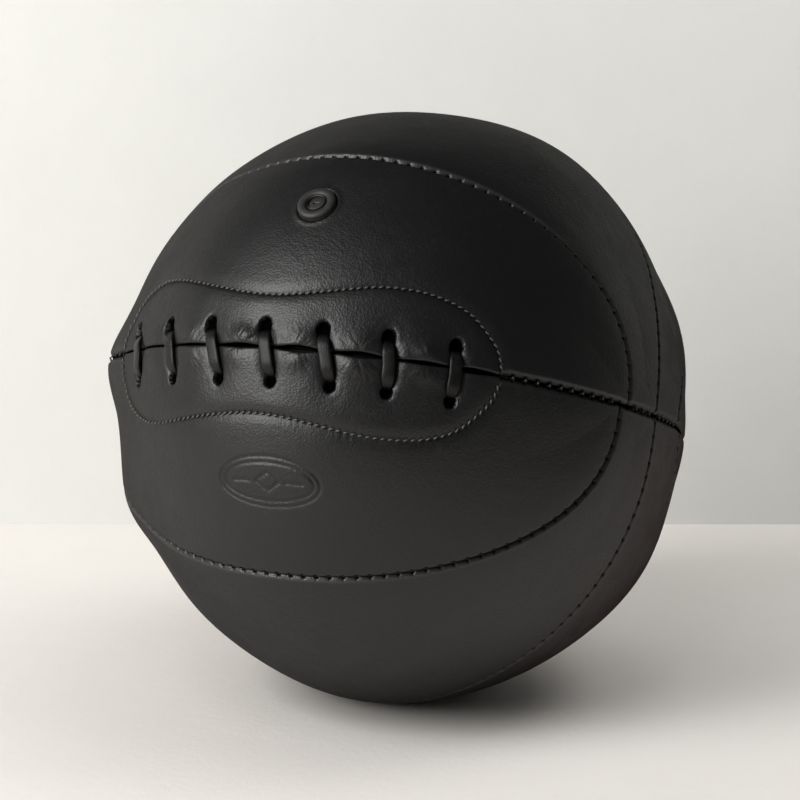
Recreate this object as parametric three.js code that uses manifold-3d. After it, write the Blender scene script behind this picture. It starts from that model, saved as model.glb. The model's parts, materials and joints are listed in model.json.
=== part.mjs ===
// A laced leather medicine ball with an inflation valve, lying where it has come to rest.
//
// Millimetres, +Z up. The ball stands on its flattened underside at Z = 0, with its lacing towards -Y.
// In the ball's own frame X runs from pole to pole along the lacing, -Y points out of the lacing and
// Z is square to the seam that the lacing closes. That seam is called the girdle here. The hoop seam
// crosses it at both poles, and an oval seam on the front and one on the back make eight panels.
// Places on the ball are directions in degrees: lon counts round the girdle from the middle of the
// lacing towards the right-hand pole, and lat counts up from the girdle.

import * as THREE from 'three';
import { mergeVertices } from 'three/addons/utils/BufferGeometryUtils.js';
import Module from 'manifold-3d';

const wasm = await Module();
wasm.setup();

// Outer shape: the leather's skin is slightly out of round.
const HALF_WIDTH = 116.3; // centre to pole
const HALF_DEPTH = 122.1; // centre to lacing
const HALF_HEIGHT = 121.5; // centre to the top of the hoop seam
const LACING_RAISE = 20.2; // the lacing looks up by this angle
const ROLL = -1.2; // and the ball leans over sideways by this one
const REST_RADIUS = 22; // flat patch that the ball lies on
const GROUND_BLOCK = [200, 100, 200]; // block that cuts the patch: across, deep, across

// Layers, from the skin inwards.
const LEATHER = 3.0;
const CANVAS = 0.8;
const FACING = 2.0;
const TONGUE = 1.5;
const FELT = 13.2;
const BLADDER = 2.0;
const PLY_GAP = 0.4; // between one layer and the next
const FACING_GAP = 1.6; // left for the turned-in seam between lining and facing
const LACE_ROOM = 3.2; // for the lace's inner runs, between facing and tongue

// Seams.
const FRONT = 0; // lon of the front oval's middle
const BACK = 168.8; // lon of the back oval's middle
const OVAL_UPPER = 71.8; // half length of an oval above the girdle
const OVAL_LOWER = 69.5; // and below it
const OVAL_RISE = 41.5; // half height of an oval
const OVAL_POWER = 2.3; // superellipse exponent of the ovals
const HOOP_TURN = 82.2; // lon at which the hoop seam meets the girdle
const EDGE = 0.1; // half the gap between two panels, in degrees
const TIP_EDGE = 0.35; // the same where a panel runs out to a tip
const BLUNT = 0.5; // width left at a tip, in degrees
const SEAM_DIP = 1.8; // how deep the rolled edges turn in
const THREAD_RADIUS = 0.35;
const THREAD_DEPTH = 0.9;
const THREAD_STEP = 7; // degrees in a straight stretch of thread
const CROSSING_CLEAR = 1; // degrees left free where seams cross

// Lacing.
const HOLES = 7;
const HOLE_PITCH = 11.68; // degrees from one pair of holes to the next
const UPPER_HOLES = 5; // lat of the upper row
const LOWER_HOLES = -6; // lat of the lower row
const HOLE_RADIUS = 3.3;
const DRILL_LENGTH = 24; // through the leather, lining and facing
const LACE_WIDTH = 4.8;
const LACE_THICKNESS = 1.8;
const LACE_TURN = 2; // radius in which the lace turns into a hole
const LACE_CLEAR = 0.6; // between the lace and what it lies on
const LACE_TAIL = 0.85; // share of a slanting inner run left as a tail beyond each end hole
const LACE_SLANT = 0.7; // share of a turn by which an inner run has moved each way when it is level
const LACE_CROWN = 0.5; // extra height of a bar over the girdle
const FACING_LEFT = -45.5; // tips of the facing's stitching
const FACING_RIGHT = 43;
const FACING_UPPER = { wide: 12.8, waist: 9.6 }; // lat of the stitching above the lacing
const FACING_LOWER = { wide: 13.8, waist: 11.6 }; // and below it
const FACING_TIP = 1; // lat of the stitching at its tips
const FACING_RIM = 1.4; // degrees by which the facing ends inside its stitching
const FACING_REACH = 0.985; // share of the stitching's length that the facing has
const FACING_SLIT = 0.3; // lat of the facing's edge along the opening
const FACING_ROWS = [0, 0.5, 1];
const STITCHING_RADIUS = 0.3;
const STITCHING_HEIGHT = 0.75; // of its middle above the skin
const STITCHING_STEPS = 24;
const TONGUE_LOWER = -11; // lat of the tongue's edges
const TONGUE_UPPER = 10;
const TONGUE_ROWS = [0, 0.33, 0.67, 1];
const TONGUE_COLUMNS = 8;

// Valve.
const VALVE_LON = 2;
const VALVE_LAT = 27.7;
const VALVE_RADIUS = 8.75;
const VALVE_RECESS = 5;
const VALVE_BORE = 3.3;
const RING_CROWN = 1.3; // height of the raised ring over the skin
const RING_SLOPE = 1.1; // how far in from its recess the crown stands
const RECESS_DEPTH = 1.6;
const STEM_RADIUS = 5.2;
const FLANGE = 1.2; // thickness of the flange inside the bladder
const CORE_RADIUS = 3;
const CORE_LENGTH = 13.4;
const CORE_TOP = 0.6; // depth of the needle hole's mouth
const NEEDLE_RADIUS = 0.8;
const BLADDER_RADIUS = 88;
const VALVE_DRILL_LENGTH = 80;

// Fineness.
const COLUMNS = 20; // along a panel
const MIDDLE_CROWDING = 0.12; // how much closer its columns stand in the middle than at the ends
const INNER_ROWS = [0, 0.04, 0.35, 0.68, 0.96, 1];
const OUTER_ROWS = [0, 0.04, 0.27, 0.5, 0.73, 0.96, 1];
const END_COLUMN = 0.012; // the rolled edge at a crescent's ends
const OVAL_END = 0.008; // share of an oval panel's length left off at each tip
const ROUND = 20; // segments round a turned piece
const CORE_ROUND = 12; // and round the valve core
const HOLE_SIDES = 10;
const CUP_STEPS = 6; // from a felt cup's top to its rim
const RIM_RISE = 0.004; // radians by which each cup's rim stands off the other's
const BLADDER_STEPS = 12;

const CANVAS_DEPTH = LEATHER + PLY_GAP;
const FACING_DEPTH = CANVAS_DEPTH + CANVAS + FACING_GAP;
const FACING_BACK = FACING_DEPTH + FACING;
const TONGUE_DEPTH = FACING_BACK + LACE_ROOM;
const FELT_DEPTH = TONGUE_DEPTH + TONGUE + 2 * PLY_GAP;

const rad = THREE.MathUtils.degToRad;
const lerp = THREE.MathUtils.lerp;
const evenly = (count, from, to) => Array.from({ length: count + 1 }, (_, i) => lerp(from, to, i / count));

const finish = (color, roughness) => new THREE.MeshStandardMaterial({ color, roughness, metalness: 0 });

const LOOKS = {
  leather: finish(0x161414, 0.42),
  lace: finish(0x1b1817, 0.5),
  thread: finish(0x2a2826, 0.5),
  canvas: finish(0x8d8168, 0.9),
  facing: finish(0x4a3a2c, 0.8),
  felt: finish(0x8c8578, 1.0),
  bladder: finish(0x3a2322, 0.6),
  valve: finish(0x191817, 0.5),
};

// ---- Places on the ball ----

// Unit direction at a longitude and latitude.
function direction(lon, lat) {
  const across = Math.cos(rad(lat));
  return new THREE.Vector3(Math.sin(rad(lon)) * across, -Math.cos(rad(lon)) * across, Math.sin(rad(lat)));
}

// Unit direction x degrees along and y degrees up from a point of the girdle, on a map that keeps
// distances from that point true.
function mapped(middle, x, y) {
  const away = rad(Math.hypot(x, y));
  const turn = Math.atan2(y, x);
  const local = new THREE.Vector3(
    Math.sin(away) * Math.cos(turn),
    -Math.cos(away),
    Math.sin(away) * Math.sin(turn),
  );
  return local.applyAxisAngle(new THREE.Vector3(0, 0, 1), rad(middle));
}

const HALVES = new THREE.Vector3(HALF_WIDTH, HALF_DEPTH, HALF_HEIGHT);

// Outward normal of the skin in a direction.
const normal = (way) => way.clone().divide(HALVES).normalize();

// Point at a depth below the skin; a negative depth stands proud of it.
const skin = (way, depth) => way.clone().multiply(HALVES).addScaledVector(normal(way), -depth);

// ---- Seam lines ----

const ovalLength = (side) => (side > 0 ? OVAL_UPPER : OVAL_LOWER);

// Angle turned through at s from 0 to 1 along a seam, in smaller steps half way than at the ends.
const swing = (s) => Math.PI * s + MIDDLE_CROWDING * Math.sin(2 * Math.PI * s);

// Map place on an oval at s from 0 to 1, on the upper (side 1) or lower (side -1) half, grown by an edge.
function ovalPlace(s, side, edge, tipEdge) {
  const turn = swing(s);
  const power = Math.abs(Math.cos(turn)) ** OVAL_POWER + Math.abs(Math.sin(turn)) ** OVAL_POWER;
  const reach = power ** (-1 / OVAL_POWER);
  const x = -Math.cos(turn) * reach * (ovalLength(side) + tipEdge);
  return [x, Math.sin(turn) * reach * (OVAL_RISE + edge)];
}

// The hoop seam at s from 0 to 1, in the sense in which the front or back oval runs.
function hoop(s, side, middle) {
  const pole = direction(middle === FRONT ? HOOP_TURN : HOOP_TURN + 180, 0);
  const turn = swing(s);
  return pole.multiplyScalar(-Math.cos(turn)).add(new THREE.Vector3(0, 0, side * Math.sin(turn)));
}

// Point of the great circle from one direction to another.
function between(from, to, share) {
  const angle = from.angleTo(to);
  const start = Math.sin((1 - share) * angle) / Math.sin(angle);
  const end = Math.sin(share * angle) / Math.sin(angle);
  return from.clone().multiplyScalar(start).addScaledVector(to, end);
}

// Half oval, from the girdle out to the oval seam.
function innerPatch(middle, side) {
  return (s, t) => {
    const [x, top] = ovalPlace(s, side, -EDGE, -TIP_EDGE);
    return mapped(middle, x, side * lerp(EDGE, Math.max(top, EDGE + BLUNT), t));
  };
}

// Crescent, from the oval seam out to the hoop seam.
function outerPatch(middle, side) {
  return (s, t) => {
    const [x, y] = ovalPlace(s, side, EDGE, TIP_EDGE);
    const from = mapped(middle, x, side * y);
    const to = hoop(s, side, middle);
    const share = t * (1 - rad(EDGE) / from.angleTo(to));
    const way = between(from, to, share);
    way.z = side * Math.max(side * way.z, Math.sin(rad(EDGE)));
    return way.normalize();
  };
}

// ---- Solids ----

// Geometry with only positions, shared vertices merged and no collapsed triangles.
function welded(geometry) {
  geometry.deleteAttribute('normal');
  geometry.deleteAttribute('uv');
  const merged = mergeVertices(geometry, 1e-4);
  const index = merged.index.array;
  const kept = [];
  for (let i = 0; i < index.length; i += 3) {
    const [a, b, c] = index.slice(i, i + 3);
    if (a !== b && b !== c && c !== a) kept.push(a, b, c);
  }
  merged.setIndex(kept);
  return merged;
}

function toManifold(geometry) {
  const mesh = new wasm.Mesh({
    numProp: 3,
    vertProperties: Float32Array.from(geometry.attributes.position.array),
    triVerts: Uint32Array.from(geometry.index.array),
  });
  return new wasm.Manifold(mesh);
}

// Geometry with each of the cutters taken out of it.
function cut(geometry, cutters) {
  let solid = toManifold(geometry);
  for (const cutter of cutters) solid = solid.subtract(toManifold(cutter));
  const { vertProperties, triVerts } = solid.getMesh();
  const result = new THREE.BufferGeometry();
  result.setAttribute('position', new THREE.BufferAttribute(Float32Array.from(vertProperties), 3));
  result.setIndex(new THREE.BufferAttribute(Uint32Array.from(triVerts), 1));
  return result;
}

// Turns a closed geometry so that its faces point out.
function outward(geometry) {
  const { array } = geometry.attributes.position;
  const index = Array.from(geometry.index.array);
  const point = (i) => new THREE.Vector3().fromArray(array, 3 * i);
  let volume = 0;
  for (let i = 0; i < index.length; i += 3) {
    volume += point(index[i]).dot(point(index[i + 1]).cross(point(index[i + 2])));
  }
  if (volume < 0) index.reverse();
  geometry.setIndex(index);
  return geometry;
}

// Closed solid made of rings of points, each ring joined to the next and both ends filled. The two
// halves of a ring are split along opposite diagonals, so that a plate's two faces run parallel.
function lofted(rings) {
  const size = rings[0].length;
  const index = [];
  for (let r = 0; r + 1 < rings.length; r += 1) {
    for (let k = 0; k < size; k += 1) {
      const a = r * size + k;
      const b = r * size + ((k + 1) % size);
      if (k < size / 2) index.push(a, b, b + size, a, b + size, a + size);
      else index.push(a, b, a + size, b, b + size, a + size);
    }
  }
  const last = (rings.length - 1) * size;
  // Each end is a strip across the ring, from its first and last points to its middle ones.
  for (let k = 0; k + 1 < size / 2; k += 1) {
    const other = size - 1 - k;
    index.push(k, other, other - 1, k, other - 1, k + 1);
    index.push(last + k, last + other - 1, last + other, last + k, last + k + 1, last + other - 1);
  }
  const geometry = new THREE.BufferGeometry();
  const positions = rings.flat().flatMap((p) => p.toArray());
  geometry.setAttribute('position', new THREE.Float32BufferAttribute(positions, 3));
  geometry.setIndex(index);
  return outward(geometry);
}

// Curved plate over a patch: columns along it, rows across it, between two depths below the skin.
function plate(patch, columns, rows, outerDepth, innerDepth) {
  const rings = columns.map((s) => {
    const top = rows.map((t) => skin(patch(s, t), outerDepth(s, t)));
    const bottom = rows.map((t) => skin(patch(s, t), innerDepth));
    return [...top, ...bottom.reverse()];
  });
  return lofted(rings);
}

// Bar of thread over the directions given, at a depth below the skin, with a corner towards the skin.
function strand(ways, depth, radius) {
  const points = ways.map((way) => skin(way, depth));
  const rings = points.map((point, i) => {
    const up = normal(ways[i]);
    const run = points[Math.min(i + 1, points.length - 1)].clone().sub(points[Math.max(i - 1, 0)]);
    const aside = up.clone().cross(run).normalize();
    return [up, aside, up.clone().negate(), aside.clone().negate()]
      .map((corner) => point.clone().addScaledVector(corner, radius));
  });
  return lofted(rings);
}

// Body of revolution about the outward direction, from [radius, height] points.
function turned(profile, segments) {
  const points = profile.map(([radius, height]) => new THREE.Vector2(radius, height));
  return outward(welded(new THREE.LatheGeometry(points, segments)));
}

// Turns and moves a turned piece or a cutter from the Y axis to a place on the ball.
function planted(geometry, base, axis) {
  const turn = new THREE.Quaternion().setFromUnitVectors(new THREE.Vector3(0, 1, 0), axis);
  return geometry.applyQuaternion(turn).translate(...base.toArray());
}

// ---- The ball and its pieces ----

const ball = new THREE.Group();
ball.rotation.set(rad(-LACING_RAISE), rad(ROLL), 0);

function add(name, geometry, look) {
  const mesh = new THREE.Mesh(geometry, LOOKS[look].clone());
  mesh.name = name;
  ball.add(mesh);
  return mesh;
}

const holeLon = (i) => (i - (HOLES - 1) / 2) * HOLE_PITCH;

// Drills for one row of lace holes.
function holeDrills(lat) {
  return Array.from({ length: HOLES }, (_, i) => {
    const way = direction(holeLon(i), lat);
    const drill = welded(new THREE.CylinderGeometry(HOLE_RADIUS, HOLE_RADIUS, DRILL_LENGTH, HOLE_SIDES));
    return planted(drill, skin(way, LEATHER), normal(way));
  });
}

const valveWay = direction(VALVE_LON, VALVE_LAT);
const valveBase = skin(valveWay, 0);
const valveAxis = valveBase.clone().normalize();

function valveDrill(radius) {
  const drill = welded(new THREE.CylinderGeometry(radius, radius, VALVE_DRILL_LENGTH, ROUND));
  return planted(drill, valveBase, valveAxis);
}

// Everything below the plane on which the ball lies.
function floorBlock() {
  const down = new THREE.Vector3(0, 0, -1).applyQuaternion(ball.quaternion.clone().invert());
  const reach = down.clone().multiply(HALVES).length();
  const flattening = REST_RADIUS ** 2 / (2 * reach);
  const block = welded(new THREE.BoxGeometry(...GROUND_BLOCK));
  return planted(block, down.clone().multiplyScalar(reach - flattening + GROUND_BLOCK[1] / 2), down);
}

const innerColumns = evenly(COLUMNS, OVAL_END, 1 - OVAL_END);
const outerColumns = [0, END_COLUMN, ...evenly(COLUMNS, 0, 1).slice(1, -1), 1 - END_COLUMN, 1];

const PANELS = [
  ['front', 'upper', FRONT, 1],
  ['front', 'lower', FRONT, -1],
  ['back', 'upper', BACK, 1],
  ['back', 'lower', BACK, -1],
];

// Leather panels and the canvas cemented to the back of each.
function addPanels() {
  for (const [face, half, middle, side] of PANELS) {
    const drills = middle === FRONT ? holeDrills(side > 0 ? UPPER_HOLES : LOWER_HOLES) : [];
    const valve = middle === FRONT && side > 0;
    const rolled = (s, t) => (t === 0 || t === 1 ? SEAM_DIP : 0);
    const rolledEnds = (s, t) => (s === 0 || s === 1 ? SEAM_DIP : rolled(s, t));
    const plain = () => CANVAS_DEPTH;

    const inner = innerPatch(middle, side);
    const leather = plate(inner, innerColumns, INNER_ROWS, rolled, LEATHER);
    const canvas = plate(inner, innerColumns, INNER_ROWS, plain, CANVAS_DEPTH + CANVAS);
    const leatherCuts = valve ? [...drills, valveDrill(VALVE_RADIUS + PLY_GAP)] : drills;
    const canvasCuts = valve ? [...drills, valveDrill(STEM_RADIUS + 2 * PLY_GAP)] : drills;
    add(`${face}_${half}_oval_panel`, cut(leather, leatherCuts), 'leather');
    add(`${face}_${half}_oval_lining`, cut(canvas, canvasCuts), 'canvas');

    const outer = outerPatch(middle, side);
    const crescent = plate(outer, outerColumns, OUTER_ROWS, rolledEnds, LEATHER);
    const lining = plate(outer, outerColumns, OUTER_ROWS, plain, CANVAS_DEPTH + CANVAS);
    add(`${face}_${half}_crescent_panel`, cut(crescent, [floorBlock()]), 'leather');
    add(`${face}_${half}_crescent_lining`, lining, 'canvas');
  }
}

// Seam threads, each from one crossing to the next.
function addSeamThreads() {
  const backTip = [BACK - OVAL_LOWER, BACK + OVAL_LOWER];
  const girdle = {
    girdle_thread_front_left: [-OVAL_LOWER + CROSSING_CLEAR, FACING_LEFT - CROSSING_CLEAR],
    girdle_thread_front_right: [FACING_RIGHT + CROSSING_CLEAR, OVAL_LOWER - CROSSING_CLEAR],
    girdle_thread_right_front: [OVAL_UPPER + CROSSING_CLEAR, HOOP_TURN - CROSSING_CLEAR],
    girdle_thread_right_back: [HOOP_TURN + CROSSING_CLEAR, BACK - OVAL_UPPER - CROSSING_CLEAR],
    girdle_thread_back: [backTip[0] + CROSSING_CLEAR, backTip[1] - CROSSING_CLEAR],
    girdle_thread_left_back: [BACK + OVAL_UPPER + CROSSING_CLEAR, HOOP_TURN + 180 - CROSSING_CLEAR],
    girdle_thread_left_front: [HOOP_TURN + 180 + CROSSING_CLEAR, 360 - OVAL_UPPER - CROSSING_CLEAR],
  };
  for (const [name, [from, to]] of Object.entries(girdle)) {
    const ways = evenly(Math.ceil((to - from) / THREAD_STEP), from, to).map((lon) => direction(lon, 0));
    add(name, strand(ways, THREAD_DEPTH, THREAD_RADIUS), 'thread');
  }
  for (const [face, half, middle, side] of PANELS) {
    const ways = innerColumns.map((s) => {
      const [x, y] = ovalPlace(s, side, 0, 0);
      return mapped(middle, x, side * y);
    });
    add(`${face}_${half}_oval_thread`, strand(ways, THREAD_DEPTH, THREAD_RADIUS), 'thread');
  }
  for (const [half, side] of [['upper', 1], ['lower', -1]]) {
    const ways = innerColumns.map((s) => hoop(s, side, FRONT));
    add(`hoop_thread_${half}`, strand(ways, THREAD_DEPTH, THREAD_RADIUS), 'thread');
  }
}

// Outline of the facing's stitching above or below the lacing, as [lon, lat] from tip to tip.
function facingLine(side) {
  const { wide, waist } = side > 0 ? FACING_UPPER : FACING_LOWER;
  const line = [
    [FACING_LEFT, FACING_TIP],
    [FACING_LEFT + 6, 0.72 * wide],
    [FACING_LEFT + 17, wide],
    [-2, waist],
    [FACING_RIGHT - 22, wide],
    [FACING_RIGHT - 8, 0.8 * wide],
    [FACING_RIGHT, FACING_TIP],
  ];
  return new THREE.SplineCurve(line.map(([lon, lat]) => new THREE.Vector2(lon, side * lat)));
}

// Inner facing that carries the lace holes, its stitching on the outside, and the tongue.
function addLacingSupport() {
  for (const [half, side, lat] of [['upper', 1, UPPER_HOLES], ['lower', -1, LOWER_HOLES]]) {
    const line = facingLine(side);
    const patch = (s, t) => {
      const place = line.getPointAt(s);
      const rim = side * Math.max(side * place.y - FACING_RIM, FACING_TIP);
      return direction(place.x * FACING_REACH, lerp(side * FACING_SLIT, rim, t));
    };
    const depth = () => FACING_DEPTH;
    const facing = plate(patch, evenly(COLUMNS, 0, 1), FACING_ROWS, depth, FACING_BACK);
    add(`lacing_facing_${half}`, cut(facing, holeDrills(lat)), 'facing');
    const ways = line.getSpacedPoints(STITCHING_STEPS).map(({ x, y }) => direction(x, y));
    add(`facing_stitching_${half}`, strand(ways, -STITCHING_HEIGHT, STITCHING_RADIUS), 'thread');
  }
  const spread = (s, t) => {
    const lat = lerp(TONGUE_LOWER, TONGUE_UPPER, t);
    return direction(lerp(FACING_LEFT, FACING_RIGHT, s), lat);
  };
  const columns = evenly(TONGUE_COLUMNS, 0, 1);
  const tongue = plate(spread, columns, TONGUE_ROWS, () => TONGUE_DEPTH, TONGUE_DEPTH + TONGUE);
  add('tongue', tongue, 'facing');
}

// Middle line of the lace, from its left tail to its right one. Each entry is a direction and a depth.
function laceLine() {
  const line = [];
  const mmLat = 180 / (Math.PI * HALF_HEIGHT); // degrees of lat in a millimetre
  const turn = LACE_TURN * mmLat;
  const corner = turn * (1 - Math.SQRT1_2);
  const lift = LACE_THICKNESS / 2 + LACE_CLEAR;
  const over = -lift;
  const under = FACING_BACK + lift;
  const put = (lon, lat, depth) => line.push([direction(lon, lat), depth]);
  const fall = LACE_TURN * (1 - Math.SQRT1_2);
  // Quarter turns between a hole and the run that leaves it towards way, up or down the ball.
  const enter = (lon, lat, way) => {
    put(lon, lat + way * turn, over);
    put(lon, lat + way * corner, over + fall);
    put(lon, lat, over + LACE_TURN);
  };
  const leave = (lon, lat, way) => {
    put(lon, lat, over + LACE_TURN);
    put(lon, lat + way * corner, over + fall);
    put(lon, lat + way * turn, over);
  };
  const middle = (UPPER_HOLES + LOWER_HOLES) / 2;
  // Inner run between two pairs of holes, slanting from the lower row up to the upper one.
  const slant = (lon, share) => {
    const lat = lerp(LOWER_HOLES, UPPER_HOLES, share);
    put(lerp(lon, lon + HOLE_PITCH, share), lat, under);
  };
  slant(holeLon(-1), 1 - LACE_TAIL);
  slant(holeLon(-1), 0.5);
  for (let i = 0; i < HOLES; i += 1) {
    const lon = holeLon(i);
    put(lon - LACE_SLANT * turn, UPPER_HOLES - LACE_SLANT * turn, under);
    put(lon, UPPER_HOLES, under - LACE_TURN);
    leave(lon, UPPER_HOLES, -1);
    put(lon, middle, over - LACE_CROWN);
    enter(lon, LOWER_HOLES, 1);
    put(lon, LOWER_HOLES, under - LACE_TURN);
    put(lon + LACE_SLANT * turn, LOWER_HOLES + LACE_SLANT * turn, under);
    slant(lon, 0.5);
  }
  slant(holeLon(HOLES - 1), LACE_TAIL);
  return line;
}

// The lace is flat leather. Its width stays square to its run and as near to the girdle as it can.
function addLace() {
  const line = laceLine();
  const points = line.map(([way, depth]) => skin(way, depth));
  const rings = points.map((point, i) => {
    const before = points[Math.max(i - 1, 0)];
    const after = points[Math.min(i + 1, points.length - 1)];
    const run = after.clone().sub(before).normalize();
    const [way] = line[i];
    const girdle = new THREE.Vector3(-way.y, way.x, 0).normalize();
    const wide = girdle.addScaledVector(run, -girdle.dot(run)).normalize();
    const thick = wide.clone().cross(run).normalize();
    return [[1, 1], [-1, 1], [-1, -1], [1, -1]].map(([u, v]) => point.clone()
      .addScaledVector(wide, u * LACE_WIDTH / 2)
      .addScaledVector(thick, v * LACE_THICKNESS / 2));
  });
  add('lace', lofted(rings), 'lace');
}

// Two cups of felt that give the ball its weight, and the bladder inside them.
function addFilling() {
  const outer = HALVES.clone().subScalar(FELT_DEPTH);
  const ratio = (HALF_WIDTH - FELT_DEPTH - FELT) / (HALF_WIDTH - FELT_DEPTH);
  const quarter = evenly(CUP_STEPS, Math.PI / 2, RIM_RISE);
  const wall = quarter.map((a) => [Math.cos(a), Math.sin(a)]);
  const inside = wall.map(([r, h]) => [r * ratio, h * ratio]).reverse();
  wall[0][0] = 0;
  inside[inside.length - 1][0] = 0;
  for (const [half, side] of [['upper', 1], ['lower', -1]]) {
    const cup = turned([...wall, ...inside], ROUND).rotateX(side * Math.PI / 2);
    cup.scale(outer.x, outer.y, outer.z);
    const drills = side > 0 ? [valveDrill(STEM_RADIUS + 2 * PLY_GAP)] : [];
    add(`weighting_felt_${half}`, cut(outward(cup), drills), 'felt');
  }
  const mouth = Math.asin((STEM_RADIUS + PLY_GAP) / BLADDER_RADIUS);
  const arc = evenly(BLADDER_STEPS, mouth, Math.PI);
  const shell = (radius) => arc.map((a) => [a === Math.PI ? 0 : radius * Math.sin(a), radius * Math.cos(a)]);
  const profile = [...shell(BLADDER_RADIUS), ...shell(BLADDER_RADIUS - BLADDER).reverse()];
  const bladder = turned([...profile, profile[0]], ROUND);
  add('bladder', planted(bladder, new THREE.Vector3(), valveAxis), 'bladder');
}

// Rubber valve body that runs from the leather to the bladder, and its self-closing core.
function addValve() {
  const inside = BLADDER_RADIUS - BLADDER - valveBase.length() - 1;
  const body = [
    [VALVE_RECESS, 0.7],
    [VALVE_RECESS + RING_SLOPE, RING_CROWN],
    [VALVE_RADIUS - 0.9, 1.1],
    [VALVE_RADIUS, 0.2],
    [VALVE_RADIUS, -LEATHER],
    [STEM_RADIUS, -LEATHER],
    [STEM_RADIUS, inside],
    [VALVE_RADIUS - 1, inside],
    [VALVE_RADIUS - 1, inside - FLANGE],
    [VALVE_BORE, inside - FLANGE],
    [VALVE_BORE, -RECESS_DEPTH],
    [VALVE_RECESS, -RECESS_DEPTH],
    [VALVE_RECESS, 0.7],
  ];
  const core = [
    [NEEDLE_RADIUS, -CORE_TOP],
    [CORE_RADIUS - 0.5, 0.2 - CORE_TOP],
    [CORE_RADIUS, -0.3 - CORE_TOP],
    [CORE_RADIUS, -CORE_TOP - CORE_LENGTH],
    [NEEDLE_RADIUS, -CORE_TOP - CORE_LENGTH],
    [NEEDLE_RADIUS, -CORE_TOP],
  ];
  add('valve_body', planted(turned(body, ROUND), valveBase, valveAxis), 'valve');
  add('valve_core', planted(turned(core, CORE_ROUND), valveBase, valveAxis), 'valve');
}

addPanels();
addSeamThreads();
addLacingSupport();
addLace();
addFilling();
addValve();

// The ball stands on the ground with its box centred on the origin.
const medicineBall = new THREE.Group();
medicineBall.add(ball);
const box = new THREE.Box3().setFromObject(medicineBall, true);
ball.position.set(-(box.min.x + box.max.x) / 2, -(box.min.y + box.max.y) / 2, -box.min.z);

export default medicineBall;
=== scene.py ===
"""A laced leather medicine ball: its finished pieces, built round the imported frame."""

import json
import math

import bmesh
import bpy
import numpy as np
from mathutils import Matrix, Vector
from mathutils.kdtree import KDTree

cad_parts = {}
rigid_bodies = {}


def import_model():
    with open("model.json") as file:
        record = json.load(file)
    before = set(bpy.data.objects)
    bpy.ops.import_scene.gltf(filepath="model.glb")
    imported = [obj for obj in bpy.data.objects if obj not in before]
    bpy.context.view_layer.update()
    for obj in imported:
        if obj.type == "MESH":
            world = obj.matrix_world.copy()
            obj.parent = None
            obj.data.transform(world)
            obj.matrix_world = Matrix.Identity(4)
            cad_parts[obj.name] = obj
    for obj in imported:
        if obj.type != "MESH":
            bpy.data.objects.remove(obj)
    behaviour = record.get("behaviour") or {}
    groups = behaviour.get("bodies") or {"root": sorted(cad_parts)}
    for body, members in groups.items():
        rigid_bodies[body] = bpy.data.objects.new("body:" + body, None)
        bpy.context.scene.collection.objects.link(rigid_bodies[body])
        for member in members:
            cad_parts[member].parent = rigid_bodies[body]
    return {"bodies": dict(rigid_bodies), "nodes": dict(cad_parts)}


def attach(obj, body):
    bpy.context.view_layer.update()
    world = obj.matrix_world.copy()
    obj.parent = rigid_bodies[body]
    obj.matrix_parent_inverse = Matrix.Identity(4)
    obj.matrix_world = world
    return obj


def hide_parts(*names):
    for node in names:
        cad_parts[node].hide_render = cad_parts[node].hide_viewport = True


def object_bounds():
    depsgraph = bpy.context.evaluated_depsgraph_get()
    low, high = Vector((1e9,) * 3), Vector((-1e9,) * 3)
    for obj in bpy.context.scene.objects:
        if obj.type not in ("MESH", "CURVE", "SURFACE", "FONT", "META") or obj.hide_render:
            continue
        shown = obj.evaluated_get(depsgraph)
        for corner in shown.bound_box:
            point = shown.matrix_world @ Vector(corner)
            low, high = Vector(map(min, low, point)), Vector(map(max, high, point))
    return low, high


bl_info = {
    "name": "Laced Medicine Ball",
    "version": (1, 0, 0),
    "blender": (4, 5, 0),
    "location": "View3D > Sidebar > Ball",
    "description": "Builds a stitched and laced leather medicine ball piece by piece",
    "category": "Add Mesh",
}

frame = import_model()
CAD_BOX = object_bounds()
NODES = frame["nodes"]
BODY = next(iter(frame["bodies"]))
MM = 0.001

# Where the filling stands out or sinks: longitude, latitude and spread in degrees, height in millimetres.
SWELLS = [
    (-55.5, -1.0, 8.0, 4.4), (-58.5, -28.0, 8.0, 2.4), (-57.0, -40.0, 8.0, -1.4), (-46.7, 27.8, 11.0, -1.9),
    (-26.0, 50.0, 14.0, -1.9), (10.0, 62.0, 15.0, -1.0), (66.0, 54.0, 16.0, 2.6), (108.0, 4.0, 11.0, -1.9),
    (108.0, -12.0, 9.0, -1.0), (105.0, -33.0, 14.0, 2.2), (150.0, 30.0, 20.0, -1.6),
    (190.0, -24.0, 22.0, 1.2), (-115.0, 12.0, 18.0, -1.4), (-100.0, -40.0, 16.0, 1.3),
]
# Where the cut of the panels has drifted: longitude and latitude with the spread of each, then the drift in
# longitude, all in degrees.
DRIFTS = [(88.0, 19.0, 45.0, 20.0, 9.5), (98.0, 13.0, 0.0, 12.0, -4.5)]
# Each seam: a salt for its unevenness, and how far the leather stands off the seam's middle.
SEAMS = {
    "girdle": (1.0, 0.0009),
    "hoop": (2.0, 0.0001),
    ("front", "upper"): (3.0, 0.0001),
    ("front", "lower"): (4.0, 0.00018),
    ("back", "upper"): (5.0, 0.0001),
    ("back", "lower"): (6.0, 0.00015),
}
# How far each pair's upper and lower hole stand off their even places along the girdle, in degrees.
LEANS = [(-3.6, -1.2), (-2.05, 0.8), (-1.95, 1.4), (-1.4, 1.1), (-1.6, 0.9), (-1.2, -0.35), (-0.7, -0.55)]

# The eight panels: face, half, longitude of the oval's middle in degrees, side of the girdle.
BACK = 168.8
FACES = [
    ("front", "upper", 0.0, 1), ("front", "lower", 0.0, -1),
    ("back", "upper", BACK, 1), ("back", "lower", BACK, -1),
]

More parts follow.
